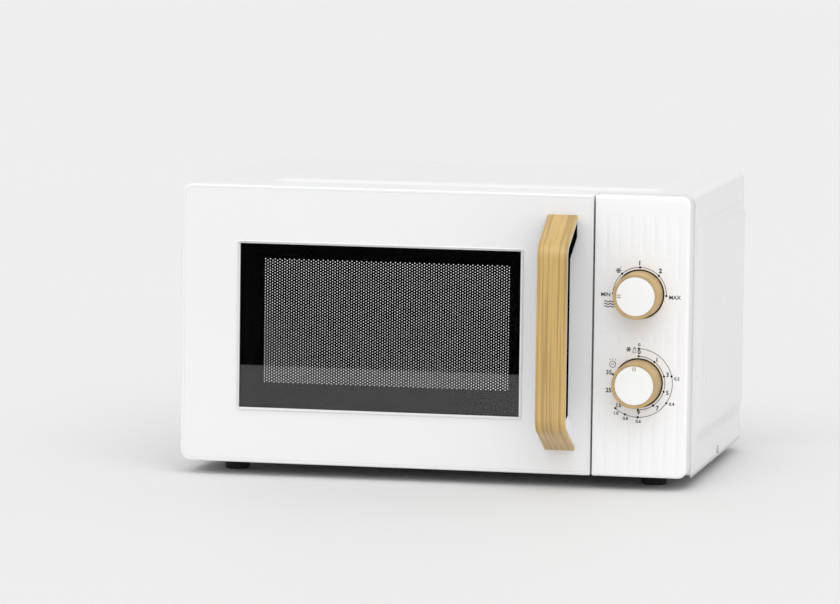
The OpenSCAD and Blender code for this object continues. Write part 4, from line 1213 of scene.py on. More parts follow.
@dataclass
class DialMarks:
    """Marks printed round the two dials.

    Attributes:
        arc_radius: Radius of the arc next to a dial.
        outer_radius: Radius of the timer's outer arc.
        line, dot: Width of the arcs, and size of their dots.
    """

    arc_radius: float = 23.1 * MM
    outer_radius: float = 29.6 * MM
    line: float = 0.5 * MM
    dot: float = 1.0 * MM

    def snowflake(self, ink: Prints, hub: tuple[float, float], offset: tuple[float, float],
                  size: float) -> None:
        """Six spokes with a short bar across each.

        Args:
            ink: Print that it is added to.
            hub: Centre that the offset is measured from.
            offset: Its place, in millimetres.
            size: Its width, in millimetres.
        """
        centre = np.array(offset)
        for k in range(3):
            a = np.radians(30 + 60 * k)
            spoke = np.array([np.sin(a), np.cos(a)]) * size / 2
            cross = np.array([spoke[1], -spoke[0]]) * 0.35
            ink.stroke(hub, [centre - spoke, centre, centre + spoke], 0.5 * MM)
            for side in (-0.6, 0.6):
                ink.stroke(hub, [centre + side * spoke - cross, centre + side * spoke + cross], 0.42 * MM)

    def power(self, ink: Prints, hub: tuple[float, float]) -> None:
        """Arc over the power dial with five dots, from MIN to MAX.

        Args:
            ink: Print that it is added to.
            hub: The dial's centre.
        """
        ink.arc(hub, self.arc_radius, -90, 92, self.line)
        for angle in (-90, -42, 0, 45, 92):
            ink.dot(hub, self.arc_radius, angle, self.dot)
        ink.word("1", hub, (-0.4, 26.6), 5.4, 0.2)
        ink.word("2", hub, (17.6, 20.4), 5.4, 0.2)
        ink.word("MIN", hub, (-29.4, -1.2), 4.7, 0.08)
        ink.word("MAX", hub, (30.4, -2.2), 4.7, 0.08)
        self.snowflake(ink, hub, (-18.6, 19.8), 5.0)
        ink.stroke(hub, [(-16.8, 22.0), (-16.2, 23.4)], 0.4 * MM)
        sweep = np.linspace(0, 1, 25)
        for k in range(3):
            wave = np.stack([-30.6 + 8.6 * sweep, -7.0 - 2.2 * k + 0.5 * np.sin(4 * np.pi * sweep)], 1)
            ink.stroke(hub, wave, 0.75 * MM)

    def timer(self, ink: Prints, hub: tuple[float, float]) -> None:
        """Two arcs round the timer dial with their numbers, a clock, a snowflake and a weight.

        Args:
            ink: Print that they are added to.
            hub: The dial's centre.
        """
        ink.arc(hub, self.arc_radius, 0, 180, self.line)
        ink.arc(hub, self.outer_radius, 0, 221, self.line)
        for angle in (0, 36.5, 74, 107, 145, 180, 287):
            ink.dot(hub, self.arc_radius, angle, self.dot)
        for angle in (0, 77, 124, 180, 202, 221):
            ink.dot(hub, self.outer_radius, angle, self.dot)
        inner = {"0": (0.4, 26.5), "1": (15.9, 20.4), "3": (25.3, 7.8), "5": (25.4, -7.8), "7": (16.9, -21.2),
                 "9": (0.6, -25.6), "15": (-16.9, -19.8), "25": (-25.6, -7.2), "35": (-25.6, 8.2)}
        for text, offset in inner.items():
            ink.word(text, hub, offset, 5.2, 0.14)
        outer = {"0": (0.4, 32.9), "0.2": (33.4, 4.6), "0.4": (29.2, -17.4), "0.6": (0.6, -33.2),
                 "0.8": (-10.6, -31.0), "1.0": (-19.0, -26.8)}
        for text, offset in outer.items():
            ink.word(text, hub, offset, 3.8, 0.1)
        clock = (hub[0] - 22.4 * MM, hub[1] + 15.4 * MM)
        ink.arc(clock, 2.6 * MM, 0, 360, 0.5 * MM)
        ink.stroke(clock, [(-1.3, 0.5), (0, -0.3), (1.4, 0.9)], 0.5 * MM)
        for x, z in ((-2.0, 3.4), (0.0, 3.8), (2.0, 3.4)):
            ink.stroke(clock, [(x, z), (x * 1.35, z + 1.2)], 0.45 * MM)
        self.snowflake(ink, hub, (-8.8, 28.8), 4.6)
        weight = [(-5.0, 25.9), (-2.4, 25.9), (-2.8, 29.4), (-4.6, 29.4), (-5.0, 25.9)]
        ink.stroke(hub, weight, 0.5 * MM)
        ink.arc((hub[0] - 3.7 * MM, hub[1] + 30.1 * MM), 0.6 * MM, 0, 360, 0.42 * MM)

    def build(self, panel: ControlPanel) -> bpy.types.Object:
        """Prints both dials' marks on the panel's face.

        Args:
            panel: The panel that carries them.

        Returns:
            The piece.
        """
        ink = Prints(panel.ext.y0)
        self.power(ink, panel.dials[0])
        self.timer(ink, panel.dials[1])
        return ink.piece("panel_marks", "cabinet", MARK_PRINT, "grey_plastic")


@dataclass
class Dial:
    """One dial: wood-look ring, glossy cap and a pointer of two lines.

    Attributes:
        name: "power" or "timer".
        pointer_turn: Clockwise angle of the pointer from the top, in degrees.
        ring_edge, cap_edge: Radii of their front edges.
        ring_hole, ring_taper: Radius of the ring's hole, and how much narrower its front is.
        cap_radius, cap_skirt: Radius of the cap, and depth of its side wall.
        dome: Height of the cap's dome.
        boss, bore, bore_depth: Radius of the cap's boss, and radius and end of the shaft's bore.
        pointer_gap, pointer_length, pointer_width: Sizes of the pointer's lines.
    """

    name: str
    pointer_turn: float
    ring_edge: float = 0.9 * MM
    cap_edge: float = 0.8 * MM
    ring_hole: float = 17.15 * MM
    ring_taper: float = 0.5 * MM
    cap_radius: float = 17 * MM
    cap_skirt: float = 4 * MM
    dome: float = 0.35 * MM
    boss: float = 8 * MM
    bore: float = 3.1 * MM
    bore_depth: float = 8 * MM
    pointer_gap: float = 1.9 * MM
    pointer_length: float = 3.6 * MM
    pointer_width: float = 0.7 * MM

    @property
    def body(self) -> str:
        """The CAD body that it rides on."""
        return f"{self.name}_dial"

    def build(self) -> None:
        """Makes the ring, the cap and the pointer."""
        ring = Extent.of(f"{self.name}_ring")
        hub = (ring.centre[0], ring.centre[2])
        face = ring.y0 + 0.15 * MM
        self.ring(ring, hub)
        self.cap(ring.y0, face, hub)
        self.pointer(face, hub)

    def ring(self, ext: Extent, hub: tuple[float, float]) -> bpy.types.Object:
        """The wood-look ring, turned from a slightly tapered profile.

        Args:
            ext: The ring's extent.
            hub: The dial's centre.

        Returns:
            The piece.
        """
        hole, out = self.ring_hole, (ext.x1 - ext.x0) / 2
        corners = [(hole, ext.y0), (out - self.ring_taper, ext.y0), (out, ext.y1), (hole, ext.y1)]
        outline = rounded_profile(corners, [0.5 * MM, self.ring_edge, 0.3 * MM, 0.2 * MM])
        return Skin().grid(revolved(outline, "Y", hub), True, True).piece(
            f"{self.name}_ring_turned", self.body, RING_WOOD, "wood_look", (f"{self.name}_ring",))

    def cap(self, front: float, face: float, hub: tuple[float, float]) -> bpy.types.Object:
        """The glossy cap: its dome sinks by the square of the radius, then a quarter round and a skirt.

        Args:
            front: Depth of the ring's front.
            face: Depth of the dome's middle.
            hub: The dial's centre.

        Returns:
            The piece.
        """
        r, back = self.cap_radius, Extent.of(f"{self.name}_cap").y1
        crown = np.linspace(0.0, 1.0, 9)[1:]
        top = np.stack([crown * (r - self.cap_edge), face + self.dome * crown ** 2], 1)
        turn = np.radians(np.linspace(15, 90, 6))
        edge = np.stack([r - self.cap_edge * (1 - np.sin(turn)),
                         face + self.dome + self.cap_edge * (1 - np.cos(turn))], 1)
        core, skirt, deep = SMALL * MM, front + self.cap_skirt, front + self.bore_depth
        inside = [(r, skirt), (self.boss, skirt), (self.boss, back), (self.bore, back),
                  (self.bore, deep), (core, deep)]
        outline = np.concatenate([[(core, face)], top, edge, inside])
        return Skin().grid(revolved(outline, "Y", hub), False, True).piece(
            f"{self.name}_cap_moulding", self.body, FINISHES["dial_white"], "dial_white",
            (f"{self.name}_cap",))

    def pointer(self, face: float, hub: tuple[float, float]) -> bpy.types.Object:
        """The two short lines that point outward at the cap's edge.

        Args:
            face: Depth of the dome's middle.
            hub: The dial's centre.

        Returns:
            The piece.
        """
        ink = Prints(face + 0.3 * MM, 0.28 * MM)
        a = np.radians(self.pointer_turn)
        away, side = np.array([np.sin(a), np.cos(a)]), np.array([np.cos(a), -np.sin(a)])
        for k in (-0.5, 0.5):
            start = side * k * self.pointer_gap + away * (self.cap_radius - self.cap_edge - 0.1 * MM)
            line = np.stack([start, start - away * self.pointer_length])
            ink.ribbon(np.array(hub) + line, self.pointer_width)
        return ink.piece(f"{self.name}_pointer", self.body, POINTER_PRINT, "wood_look")


# ---------- door ----------


@dataclass
class Door:
    """Moulded front with a glass window, a printed border and a perforated steel screen.

    Attributes:
        corner: Radius of the two left corners.
        edge: Radius of the outer edge.
        bead_in, bead_width, bead_depth: Place and size of the fine groove inside the edge.
        lip: Radius of the window opening's edge.
        wall: Thickness of the moulding.
        hinge_round: Radius of the rear left edge about the hinge pins.
        arm_reach, arm_deep: How far the arms' notches reach in front of the pins, and in from the left.
        arm_below, arm_above: How far a notch reaches below and above the height of its arm.
        window_gap, window_seat: Room round the glass, and depth of the opening's wall.
        hole, hole_across, hole_up: Radius and spacing of the screen's holes.
        screen_columns, screen_rows: Number of holes.
        screen_right, screen_high: How far the holes' middle lies right of and above the window's.
        clear_side, clear_low: Inset of the glass's clear part at the sides, and above and below.
    """

    corner: float = 9 * MM
    edge: float = 1.7 * MM
    bead_in: float = 3.2 * MM
    bead_width: float = 0.7 * MM
    bead_depth: float = 0.35 * MM
    lip: float = 0.4 * MM
    wall: float = 2.2 * MM
    hinge_round: float = 7 * MM
    arm_reach: float = 9.5 * MM
    arm_deep: float = 4 * MM
    arm_below: float = 0.8 * MM
    arm_above: float = 2.8 * MM
    window_gap: float = 0.15 * MM
    window_seat: float = 2.4 * MM
    hole: float = 0.53 * MM
    hole_across: float = 2.13 * MM
    hole_up: float = 2.44 * MM
    screen_columns: int = 102
    screen_rows: int = 45
    screen_right: float = 4.6 * MM
    screen_high: float = 4 * MM
    clear_side: float = 12.5 * MM
    clear_low: float = 7 * MM

    def __post_init__(self) -> None:
        """Takes the door's, the window's and the screen's places from the frame."""
        self.ext = Extent.of("door_fascia")
        self.window = Extent.of("door_window")
        self.screen = Extent.of("door_screen")
        self.hinge_x = self.ext.x0 + self.hinge_round
        self.hinge_y = self.ext.y1 - self.hinge_round
        self.middle_x = self.screen_right + (self.window.x0 + self.window.x1) / 2
        self.middle_z = self.screen_high + (self.window.z0 + self.window.z1) / 2

    def arms(self) -> list[float]:
        """Heights of the two hinge arms' plates."""
        upper, lower = Extent.of("upper_hinge"), Extent.of("lower_hinge")
        return [upper.z0 + 13 * MM, lower.z0 + 8 * MM]

    def front(self) -> bpy.types.Object:
        """The moulding: loops run from the window's edge over the face and the bead to the rear edge.

        At the left the side wall curls about the hinge pins, and each hinge arm has a notch.

        Returns:
            The piece.
        """
        ext, win = self.ext, self.window
        gap = self.window_gap
        x0, x1, z0, z1 = win.x0 - gap, win.x1 + gap, win.z0 - gap, win.z1 + gap
        arms = self.arms()
        cuts = sorted([z - self.arm_below for z in arms] + [z + self.arm_above for z in arms])
        zs = np.unique(np.concatenate([rows((ext.z0 + 1 * MM, ext.z1 - 1 * MM, 40)), cuts]))
        xs = rows((ext.x0 + 1 * MM, ext.x1 - 1 * MM, 48))
        outline = Outline(ext.x0, ext.z0, ext.x1, ext.z1, (self.corner, 1.5 * MM, 1.5 * MM, self.corner),
                          xs, zs, (1.0, 1.0, 0.5, 1.0))
        opening = Outline(x0, z0, x1, z1, (0.4 * MM,) * 4, carried(xs, x0, x1), carried(zs, z0, z1))
        rings = [opening.ring(0.0, ext.y0 + self.window_seat)]
        lip = reversed(edge_profile(self.lip, 3))
        rings += [opening.ring(inset - self.lip, ext.y0 + depth) for inset, depth in lip]
        for ring in rings[1:]:
            ring[:, 0] = np.clip(ring[:, 0], x0 - self.lip, x1 + self.lip)
        rings.append(opening.ring(-self.lip - 0.5 * MM, ext.y0))
        half = self.bead_width / 2
        for inset, depth in ((self.bead_in + half + 0.6 * MM, 0), (self.bead_in + half, 0),
                             (self.bead_in + half * 0.4, 1), (self.bead_in - half * 0.4, 1),
                             (self.bead_in - half, 0), (self.edge + 0.5 * MM, 0)):
            rings.append(outline.ring(inset, ext.y0 + depth * self.bead_depth))
        rings += [outline.ring(inset, ext.y0 + depth) for inset, depth in edge_profile(self.edge, 6)]
        notch_y = self.hinge_y - self.arm_reach
        rings += [outline.ring(0.0, y) for y in (ext.y0 + self.edge + 0.5 * MM, notch_y, self.hinge_y)]
        curl = np.radians(np.linspace(0, 52, 7))[1:]
        for a in curl:
            depth = self.hinge_y + self.hinge_round * np.sin(a)
            ring = outline.ring(0.0, depth)
            near = np.clip((self.hinge_x - ring[:, 0]) / self.hinge_round, 0, 1)
            ring[:, 0] += self.hinge_round * (1 - np.cos(a)) * near
            ring[:, 1] = np.where(near > 0, depth, self.hinge_y + (ext.y1 - self.hinge_y) * a / curl[-1])
            rings.append(ring)
        points = np.stack(rings)
        between = (points[:-1] + points[1:]) / 2
        x, y, z = np.moveaxis((between + np.roll(between, -1, axis=1)) / 2, -1, 0)
        cut = np.zeros(x.shape, bool)
        for arm in arms:
            cut |= (z > arm - self.arm_below) & (z < arm + self.arm_above)
        cut &= (x < ext.x0 + self.arm_deep) & (y > notch_y)
        skin = Skin().grid(points, wrap_columns=True).holes(~cut)
        return skin.piece("door_moulding", "door", FINISHES["white_front"], "white_front",
                          ("door_fascia",), Vector((0, -1, 0)), self.wall, 50.0)

    def pane(self) -> bpy.types.Object:
        """Glass pane with fine ground edges: a slab whose loops step in at front and back.

        Returns:
            The piece.
        """
        win, soft, middle = self.window, 0.3 * MM, self.window.centre[[0, 2]]
        xs, zs = rows((win.x0 + MM, win.x1 - MM, 8)), rows((win.z0 + MM, win.z1 - MM, 6))
        outline = Outline(win.x0, win.z0, win.x1, win.z1, (0.4 * MM,) * 4, xs, zs, arc=3)
        rings = [outline.cap(60 * MM, win.y0, middle), outline.ring(soft * 3, win.y0),
                 outline.ring(soft, win.y0), outline.ring(0, win.y0 + soft),
                 outline.ring(0, win.y1 - soft), outline.ring(soft, win.y1),
                 outline.ring(soft * 3, win.y1), outline.cap(60 * MM, win.y1, middle)]
        return Skin().grid(np.stack(rings), wrap_columns=True).piece(
            "window_pane", "door", FINISHES["black_glass"], "black_glass", ("door_window",))

    def border(self) -> bpy.types.Object:
        """Black print behind the glass: a flat ring from the window's edge to the clear field.

        Returns:
            The piece.
        """
        win, y = self.window, self.window.y1 + 0.06 * MM
        x0, x1 = win.x0 + self.clear_side, win.x1 - self.clear_side * 0.55
        z0, z1 = win.z0 + self.clear_low, win.z1 - self.clear_low
        xs, zs = rows((x0, x1, 20)), rows((z0, z1, 12))
        clear = Outline(x0, z0, x1, z1, (0.0,) * 4, xs, zs, arc=1)
        edge = Outline(win.x0, win.z0, win.x1, win.z1, (0.0,) * 4, carried(xs, win.x0, win.x1),
                       carried(zs, win.z0, win.z1), arc=1)
        back = y + 0.2 * MM
        rings = [clear.ring(0, y), edge.ring(0, y), edge.ring(0, back), clear.ring(0, back)]
        return Skin().grid(np.stack(rings), True, True).piece(
            "window_border", "door", WINDOW_PRINT, "black_glass")

    def screen_plate(self) -> bpy.types.Object:
        """Perforated sheet: one six-sided cell with a six-sided hole for each point of the lattice.

        Columns stand hole_across apart, and every second one is shifted down by half of hole_up. A
        cell's corners are where it meets its neighbours, so that the cells join without gaps. The
        shifted columns end in a cell without a hole.

        Returns:
            The piece.
        """
        w, p, across, up = self.hole_across, self.hole_up, self.screen_columns, self.screen_rows
        column, row = np.meshgrid(np.arange(across), np.arange(up + 1), indexing="ij")
        shifted = column % 2 == 1
        x = self.middle_x + (column - (across - 1) / 2) * w
        z = self.middle_z + (row - (up - 1) / 2) * p - np.where(shifted, p / 2, 0)
        keep = shifted | (row < up)
        blank = shifted & (row % up == 0)
        centre = np.stack([x[keep], z[keep]], 1)[:, None, :]
        near, far = w / 2 - p * p / (8 * w), w / 2 + p * p / (8 * w)
        cell = np.array([(far, 0), (near, p / 2), (-near, p / 2), (-far, 0), (-near, -p / 2), (near, -p / 2)])
        turn = np.radians(np.arange(6) * 60)
        radius = np.where(blank[keep], 0.01 * MM, self.hole)[:, None, None]
        hole = np.stack([np.cos(turn), np.sin(turn)], 1) * radius
        flat = np.stack([centre + cell, centre + hole], axis=1)
        points = np.insert(flat, 1, self.screen.y0, axis=3).reshape(-1, 3)
        index = np.arange(len(points)).reshape(-1, 2, 6)
        turned = np.roll(index, -1, axis=2)
        quads = np.stack([index[:, 0], turned[:, 0], turned[:, 1], index[:, 1]], axis=-1)
        return Skin().cells(points, quads.reshape(-1, 4)).piece(
            "screen_mesh", "door", FINISHES["screen_steel"], "screen_steel", (), Vector((0, -1, 0)), 0.5 * MM)

    def screen_margin(self) -> bpy.types.Object:
        """Flat margin round the holes, with the steel inner door's outer wall.

        Returns:
            The piece.
        """
        ext, lap_x, lap_z = self.screen, 0.45 * MM, 0.2 * MM
        half_x = self.screen_columns * self.hole_across / 2 - lap_x
        half_z = self.screen_rows * self.hole_up / 2 - lap_z
        x0, x1 = self.middle_x - half_x, self.middle_x + half_x
        z0, z1 = self.middle_z - half_z, self.middle_z + half_z
        xs, zs = rows((x0, x1, 12)), rows((z0, z1, 8))
        inner = Outline(x0, z0, x1, z1, (0.0,) * 4, xs, zs, arc=2)
        outer = Outline(ext.x0, ext.z0, ext.x1, ext.z1, (2 * MM,) * 4, carried(xs, ext.x0, ext.x1),
                        carried(zs, ext.z0, ext.z1), arc=2)
        y, bend = ext.y0 - 0.3 * MM, 1.2 * MM
        rings = [inner.ring(0.0, ext.y0 + 0.1 * MM), inner.ring(-0.6 * MM, y), outer.ring(bend, y),
                 outer.ring(0.0, y + bend), outer.ring(0.0, ext.y1)]
        return Skin().grid(np.stack(rings), wrap_columns=True).piece(
            "screen_margin", "door", FINISHES["screen_steel"], "screen_steel", ("door_screen",),
            Vector((0, -1, 0)), 0.6 * MM)

    def screen_fold(self) -> bpy.types.Object:
        """Inner fold of the steel inner door: a square tube round the film.

        Returns:
            The piece.
        """
        ext, into, sheet = self.screen, 18 * MM, 0.8 * MM
        x0, x1, z0, z1 = ext.x0 + into, ext.x1 - into, ext.z0 + into, ext.z1 - into
        fold = Outline(x0, z0, x1, z1, (2 * MM,) * 4, rows((x0, x1, 12)), rows((z0, z1, 8)), arc=2)
        front = ext.y0 + 0.9 * MM
        steps = ((0.0, front), (0.0, ext.y1), (sheet, ext.y1), (sheet, front))
        rings = [fold.ring(inset, y) for inset, y in steps]
        return Skin().grid(np.stack(rings), True, True).piece(
            "screen_fold", "door", FINISHES["screen_steel"], "screen_steel")

    def slab(self, name: str, y0: float, y1: float, finish: Finish, replaces: tuple[str, ...]) -> None:
        """Thin sheet of the inner film's outline with soft edges.

        Args:
            name: Name of the piece.
            y0, y1: Its front and back.
            finish: Its finish.
            replaces: CAD nodes that it stands for.
        """
        ext, soft = Extent.of("door_inner_film"), (y1 - y0) * 0.3
        middle = ext.centre[[0, 2]]
        xs, zs = rows((ext.x0 + MM, ext.x1 - MM, 8)), rows((ext.z0 + MM, ext.z1 - MM, 6))
        outline = Outline(ext.x0, ext.z0, ext.x1, ext.z1, (1.5 * MM,) * 4, xs, zs, arc=3)
        rings = [outline.cap(soft, y0, middle), outline.ring(soft, y0), outline.ring(0, y0 + soft),
                 outline.ring(0, y1 - soft), outline.ring(soft, y1), outline.cap(soft, y1, middle)]
        Skin().grid(np.stack(rings), wrap_columns=True).piece(name, "door", finish, "film", replaces)

    def film(self) -> None:
        """Pale film behind the screen, with a thin backing that glows as painted light and shows through its
        holes.
        """
        front, between = self.screen.y0 + 0.62 * MM, self.screen.y0 + 0.74 * MM
        back = Extent.of("door_inner_film").y1
        # The backing glows: painted light that shows bright through the screen's holes.
        self.slab("glowing_screen_backing", front, between - 0.02 * MM, GLOWING_SCREEN_BACKING, ())
        self.slab("inner_film", between, back, FINISHES["film"], ("door_inner_film",))


@dataclass
class Handle:
    """Bowed handle: wood-look strip and a pale rim, a painted highlight, on a dark bar, carried along the
    handle's side view.

    Attributes:
        end: Height that each slope takes up.
        bend: Outer radius of the two bends.
        strip: Thickness of the strip.
        bar: Depth of strip and bar together.
        soft: Radius of the strip's long edges.
        rim, rim_out: Thickness of the pale rim under the strip, a painted highlight, and how far it stands
            out at the sides.
        bar_in: How far the bar stands back at the sides.
        bar_step, bar_shoulder: Height and width of the bevels at the bar's back.
        foot: Number of stations that the bar's pale lower foot, a painted reflection of the white door, takes
            up.
    """

    end: float = 24 * MM
    bend: float = 15 * MM
    strip: float = 3.5 * MM
    bar: float = 20 * MM
    soft: float = 0.7 * MM
    rim: float = 0.8 * MM
    rim_out: float = 0.15 * MM
    bar_in: float = 0.25 * MM
    bar_step: float = 2 * MM
    bar_shoulder: float = 5 * MM
    foot: int = 17

    def __post_init__(self) -> None:
        """Takes the handle's place from the frame."""
        self.ext = Extent.of("handle_cover")
        self.door_y = Extent.of("door_fascia").y0
        self.out = self.door_y - self.ext.y0

    def side_line(self, depth: float, steps: int = 10) -> Array:
        """Side view of the surface that lies some depth below the outer face.

        Two slopes and a straight run, all moved inward by the depth, with arcs about fixed centres.
        The slopes end on the door's plane.

        Args:
            depth: Depth below the outer face.
            steps: Facets of each bend.

        Returns:
            Points (y, z), from the upper foot to the lower foot.
        """
        slope = self.end / self.out
        foot = depth * np.sqrt(1 + slope ** 2)
        rise = slope * (self.out - depth)
        y = self.door_y - self.out + depth
        top, bottom = self.ext.z1 - foot, self.ext.z0 + foot
        corners = np.array([(self.door_y, top), (y, top - rise), (y, bottom + rise), (self.door_y, bottom)])
        line = [corners[:1]]
        share = np.linspace(0, 1, 9)[1:-1, None]
        line.append(corners[0] + share * (corners[1] - corners[0]) * 0.8)
        for k in (1, 2):
            a, b, c = corners[k - 1], corners[k], corners[k + 1]
            u, v = (a - b) / np.linalg.norm(a - b), (c - b) / np.linalg.norm(c - b)
            half = np.arccos(np.clip(u @ v, -1, 1)) / 2
            radius = max(self.bend - depth, 0.05 * MM)
            middle = (u + v) / np.linalg.norm(u + v)
            centre = b + middle * radius / np.sin(half)
            turn = np.linspace(-(np.pi / 2 - half), np.pi / 2 - half, steps + 1)
            side = np.array([-middle[1], middle[0]])
            side = side if side @ v > 0 else -side
            line.append(centre + radius * (-middle * np.cos(turn)[:, None] + side * np.sin(turn)[:, None]))
            if k == 1:
                between = np.linspace(0.03, 0.97, 30)[:, None]
                line.append(corners[1] + between * (corners[2] - corners[1]))
        # The straight run's stations keep clear of both bends.
        line[3] = np.clip(line[3], [-9, line[4][0, 1] + 0.1 * MM], [9, line[2][-1, 1] - 0.1 * MM])
        line.append(corners[2] + (0.2 + share * 0.8) * (corners[3] - corners[2]))
        line.append(corners[3:])
        return np.concatenate(line)

    def band(self, section: Array) -> Array:
        """Carries a cross-section along the side view.

        Args:
            section: Points (x, depth) round the section.

        Returns:
            Grid of points, one row per station.
        """
        lines = np.stack([self.side_line(depth) for depth in section[:, 1]], axis=1)
        x = np.repeat(section[None, :, 0], len(lines), axis=0)
        return np.stack([x, lines[..., 0], lines[..., 1]], axis=-1)

    @staticmethod
    def closed(points: Array) -> Skin:
        """Closed band with its two ends filled.

        Args:
            points: Grid of points, one row per station.

        Returns:
            The skin.
        """
        skin = Skin().grid(points, wrap_columns=True)
        for end in (points[0], points[-1]):
            middle = end.mean(0)
            skin.grid(np.stack([end, middle + (end - middle) * SMALL]), wrap_columns=True)
        return skin

    def build(self) -> None:
        """Makes the strip, its rim as a painted highlight, the dark bar and the bar's foot, painted pale as a
        reflection.
        """
        x0, x1, r, deep = self.ext.x0, self.ext.x1, self.soft, self.strip
        strip = rounded_profile([(x0, 0), (x1, 0), (x1, deep), (x0, deep)], [r, r, 0.2 * MM, 0.2 * MM])
        self.closed(self.band(strip)).piece("handle_strip", "door", FINISHES["wood_look"], "wood_look",
                                            ("handle_cover",))
        left, right, under = x0 - self.rim_out, x1 + self.rim_out, deep + self.rim
        rim = rounded_profile([(left, deep), (right, deep), (right, under), (left, under)], [0.3 * MM] * 4, 3)
        # The rim is a painted highlight: a pale band in place of the line of light along the strip's edge.
        self.closed(self.band(rim)).piece("handle_rim_painted_highlight", "door", PAINTED_REFLECTION_PLATE, "handle_chrome")
        left, right, step = x0 + self.bar_in, x1 - self.bar_in, self.bar - self.bar_step
        corners = [(left, under), (right, under), (right, step), (x1 - self.bar_shoulder, self.bar),
                   (x0 + self.bar_shoulder, self.bar), (left, step)]
        bar = rounded_profile(corners, [0.3 * MM] * 2 + [1.5 * MM] * 4)
        stations = self.band(bar)
        # The bar's lower stations are split off in the pale finish: a painted reflection of the white door on
        # the foot.
        cut = len(stations) - self.foot
        self.closed(stations[:cut + 1]).piece("handle_bar", "door", FINISHES["handle_chrome"],
                                              "handle_chrome", ("handle_core",))
        self.closed(stations[cut:]).piece("handle_foot_painted_reflection", "door", PAINTED_REFLECTION_PLATE, "handle_chrome")


# ---------- oven inside ----------


@dataclass
class Turntable:
    """Glass tray, turned from a flat profile with a raised, rounded rim.

    Attributes:
        sheet: Thickness of the glass.
        rim_run: Width of the slope up to the rim.
        rim_width: Width of the rim's top.
    """

    sheet: float = 5 * MM
    rim_run: float = 16 * MM
    rim_width: float = 3.6 * MM

    def build(self) -> None:
        """Makes the tray."""
        ext = Extent.of("glass_tray")
        hub = (float(ext.centre[0]), float(ext.centre[1]))
        r, core = (ext.x1 - ext.x0) / 2, SMALL * MM
        under, over, top = ext.z0 + 0.2 * MM, ext.z0 + self.sheet, ext.z1
        outline = rounded_profile(
            [(core, under), (r - self.rim_run, under), (r - 1 * MM, top - 3 * MM), (r, top),
             (r - self.rim_width, top), (r - self.rim_run - 1 * MM, over), (core, over)],
            [0, 6 * MM, 1.2 * MM, 1.2 * MM, 1.2 * MM, 6 * MM, 0])
        Skin().grid(revolved(outline, "Z", hub, 128), False, True).piece(
            "tray_turned", "turntable", FINISHES["tray_glass"], "tray_glass", ("glass_tray",))


# ---------- everything else ----------


def dress_frame_nodes() -> None:
    """Gives every CAD node that is still shown the finish of its slot in the record."""
    for part in frame["record"]["subparts"]:
        made, finish = frame["nodes"][part["node"]], FINISHES[part["material_slot"]]
        if not made.hide_render:
            made.data.materials.clear()
            made.data.materials.append(finish.material())
            log.info("%s: %s", part["node"], finish.name)


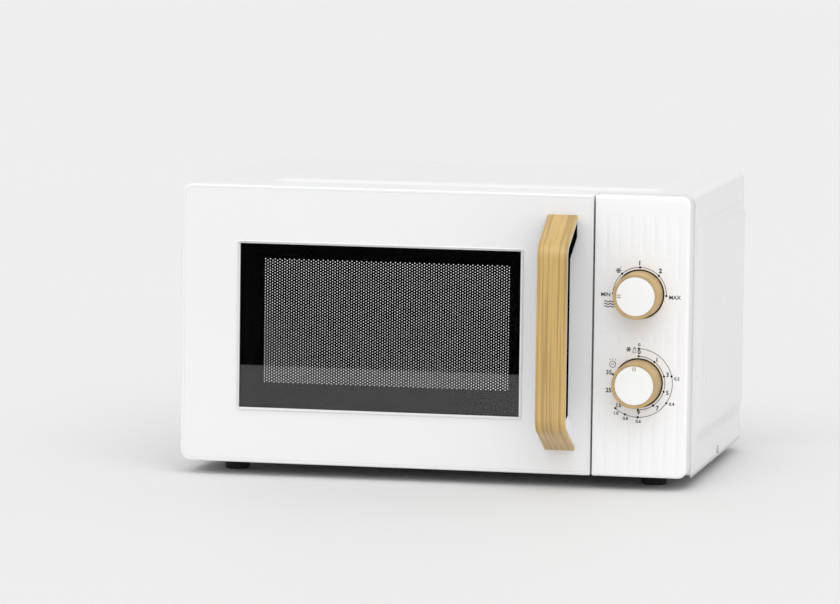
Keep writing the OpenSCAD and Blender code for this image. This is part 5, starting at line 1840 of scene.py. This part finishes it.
@dataclass
class Studio:
    """Pale floor, one soft light, the surroundings and the camera.

    Attributes:
        near: Distance in front of the door up to which the floor mirrors in the window.
        reach: Half width of the floor.
        sun_from, sun_spread, sun_power: Direction of the light, its width in degrees and its strength.
        sky, sky_power: Colour and strength of the surroundings.
        horizon: Lowest and highest slope of the mirrored surroundings' change from dark to pale.
        mirrored: Strength of the mirrored surroundings below and above it.
        lens: Focal length in millimetres.
        eye: The camera's place.
        yaw, pitch, roll: The camera's turn to the left, down and clockwise, in degrees.
    """

    near: float = 0.843
    reach: float = 30.0
    sun_from: tuple[float, float, float] = (0.62, -2.1, 2.9)
    sun_spread: float = 60.0
    sun_power: float = 1.05
    sky: Colour = (0.94, 0.943, 0.95)
    sky_power: float = 0.94
    horizon: tuple[float, float] = (-0.02, 0.03)
    mirrored: tuple[float, float] = (0.01, 0.9)
    lens: float = 243.8
    eye: tuple[float, float, float] = (0.9564, -4.9155, 0.6466)
    yaw: float = 11.46
    pitch: float = 5.73
    roll: float = 0.73

    def floor(self) -> None:
        """Two flat sheets; only the one near the oven shows in reflections."""
        edge = Extent.of("door_fascia").y0 - self.near
        for name, y0, y1 in (("floor_near", edge, self.reach), ("floor_far", -self.reach, edge)):
            x, y = np.meshgrid(np.linspace(-self.reach, self.reach, 9), np.linspace(y0, y1, 9), indexing="ij")
            skin = Skin().grid(np.stack([x, y, np.zeros_like(x)], axis=-1))
            mesh = bpy.data.meshes.new(name)
            mesh.from_pydata(skin.points[0], [], skin.faces[0].tolist())
            mesh.materials.append(FLOOR.material())
            sheet = placed(name, mesh)
            sheet.visible_glossy = sheet.visible_transmission = name == "floor_near"

    def sun(self) -> None:
        """Adds the far soft light."""
        light = bpy.data.lights.new("key_light", "SUN")
        light.angle = np.radians(self.sun_spread)
        light.energy = self.sun_power
        holder = placed("key_light", light)
        holder.location = self.sun_from
        holder.rotation_mode = "QUATERNION"
        holder.rotation_quaternion = (-Vector(self.sun_from)).to_track_quat("-Z", "Y")

    def world(self) -> None:
        """Even pale surroundings that mirror as a dark room below the horizon."""
        world = bpy.data.worlds.new("studio")
        bpy.context.scene.world = world
        world.use_nodes = True
        nodes, links = world.node_tree.nodes, world.node_tree.links
        sky = nodes["Background"]
        sky.inputs["Color"].default_value = (*self.sky, 1.0)
        sky.inputs["Strength"].default_value = self.sky_power
        mirror = nodes.new("ShaderNodeBackground")
        where = nodes.new("ShaderNodeTexCoord")
        split = nodes.new("ShaderNodeSeparateXYZ")
        ramp = nodes.new("ShaderNodeMapRange")
        ramp.inputs["From Min"].default_value, ramp.inputs["From Max"].default_value = self.horizon
        ramp.inputs["To Min"].default_value, ramp.inputs["To Max"].default_value = self.mirrored
        path = nodes.new("ShaderNodeLightPath")
        mix = nodes.new("ShaderNodeMixShader")
        links.new(where.outputs["Generated"], split.inputs["Vector"])
        links.new(split.outputs["Z"], ramp.inputs["Value"])
        links.new(ramp.outputs["Result"], mirror.inputs["Strength"])
        seen = nodes.new("ShaderNodeMath")
        seen.operation = "MAXIMUM"
        links.new(path.outputs["Is Glossy Ray"], seen.inputs[0])
        links.new(path.outputs["Is Transmission Ray"], seen.inputs[1])
        links.new(seen.outputs["Value"], mix.inputs["Fac"])
        links.new(sky.outputs["Background"], mix.inputs[1])
        links.new(mirror.outputs["Background"], mix.inputs[2])
        links.new(mix.outputs["Shader"], nodes["World Output"].inputs["Surface"])

    def camera(self) -> None:
        """Long lens at the front right, a little above the oven."""
        yaw, pitch, roll = np.radians([self.yaw, self.pitch, self.roll])
        right = np.array([np.cos(yaw), np.sin(yaw), 0.0])
        ahead = np.array([-np.sin(yaw), np.cos(yaw), 0.0])
        up = np.array([0.0, 0.0, 1.0])
        look = ahead * np.cos(pitch) - up * np.sin(pitch)
        over = ahead * np.sin(pitch) + up * np.cos(pitch)
        side = right * np.cos(roll) + over * np.sin(roll)
        crown = -right * np.sin(roll) + over * np.cos(roll)
        lens = bpy.data.cameras.new("camera")
        lens.lens = self.lens
        lens.sensor_width = 36
        lens.clip_end = 60
        holder = placed("camera", lens)
        turn = Matrix((side, crown, -look)).transposed().to_4x4()
        holder.matrix_world = Matrix.Translation(self.eye) @ turn
        bpy.context.scene.camera = holder

    def build(self) -> None:
        """Sets up the floor, the light, the surroundings and the camera."""
        self.floor()
        self.sun()
        self.world()
        self.camera()
        bpy.context.scene.view_settings.view_transform = "Standard"


def main() -> None:
    """Builds the oven's visible pieces in order, dresses the rest and sets up the studio."""
    logging.basicConfig(level=logging.INFO, format="%(message)s")
    cabinet = Cabinet()
    cabinet.cover()
    cabinet.feet()
    panel = ControlPanel()
    panel.shell()
    panel.wells()
    DialMarks().build(panel)
    for dial in (Dial("power", -90.0), Dial("timer", 0.0)):
        dial.build()
    door = Door()
    door.front()
    door.pane()
    door.border()
    door.screen_plate()
    door.screen_margin()
    door.screen_fold()
    door.film()
    Handle().build()
    Turntable().build()
    dress_frame_nodes()
    Studio().build()


if __name__ == "__main__":
    main()
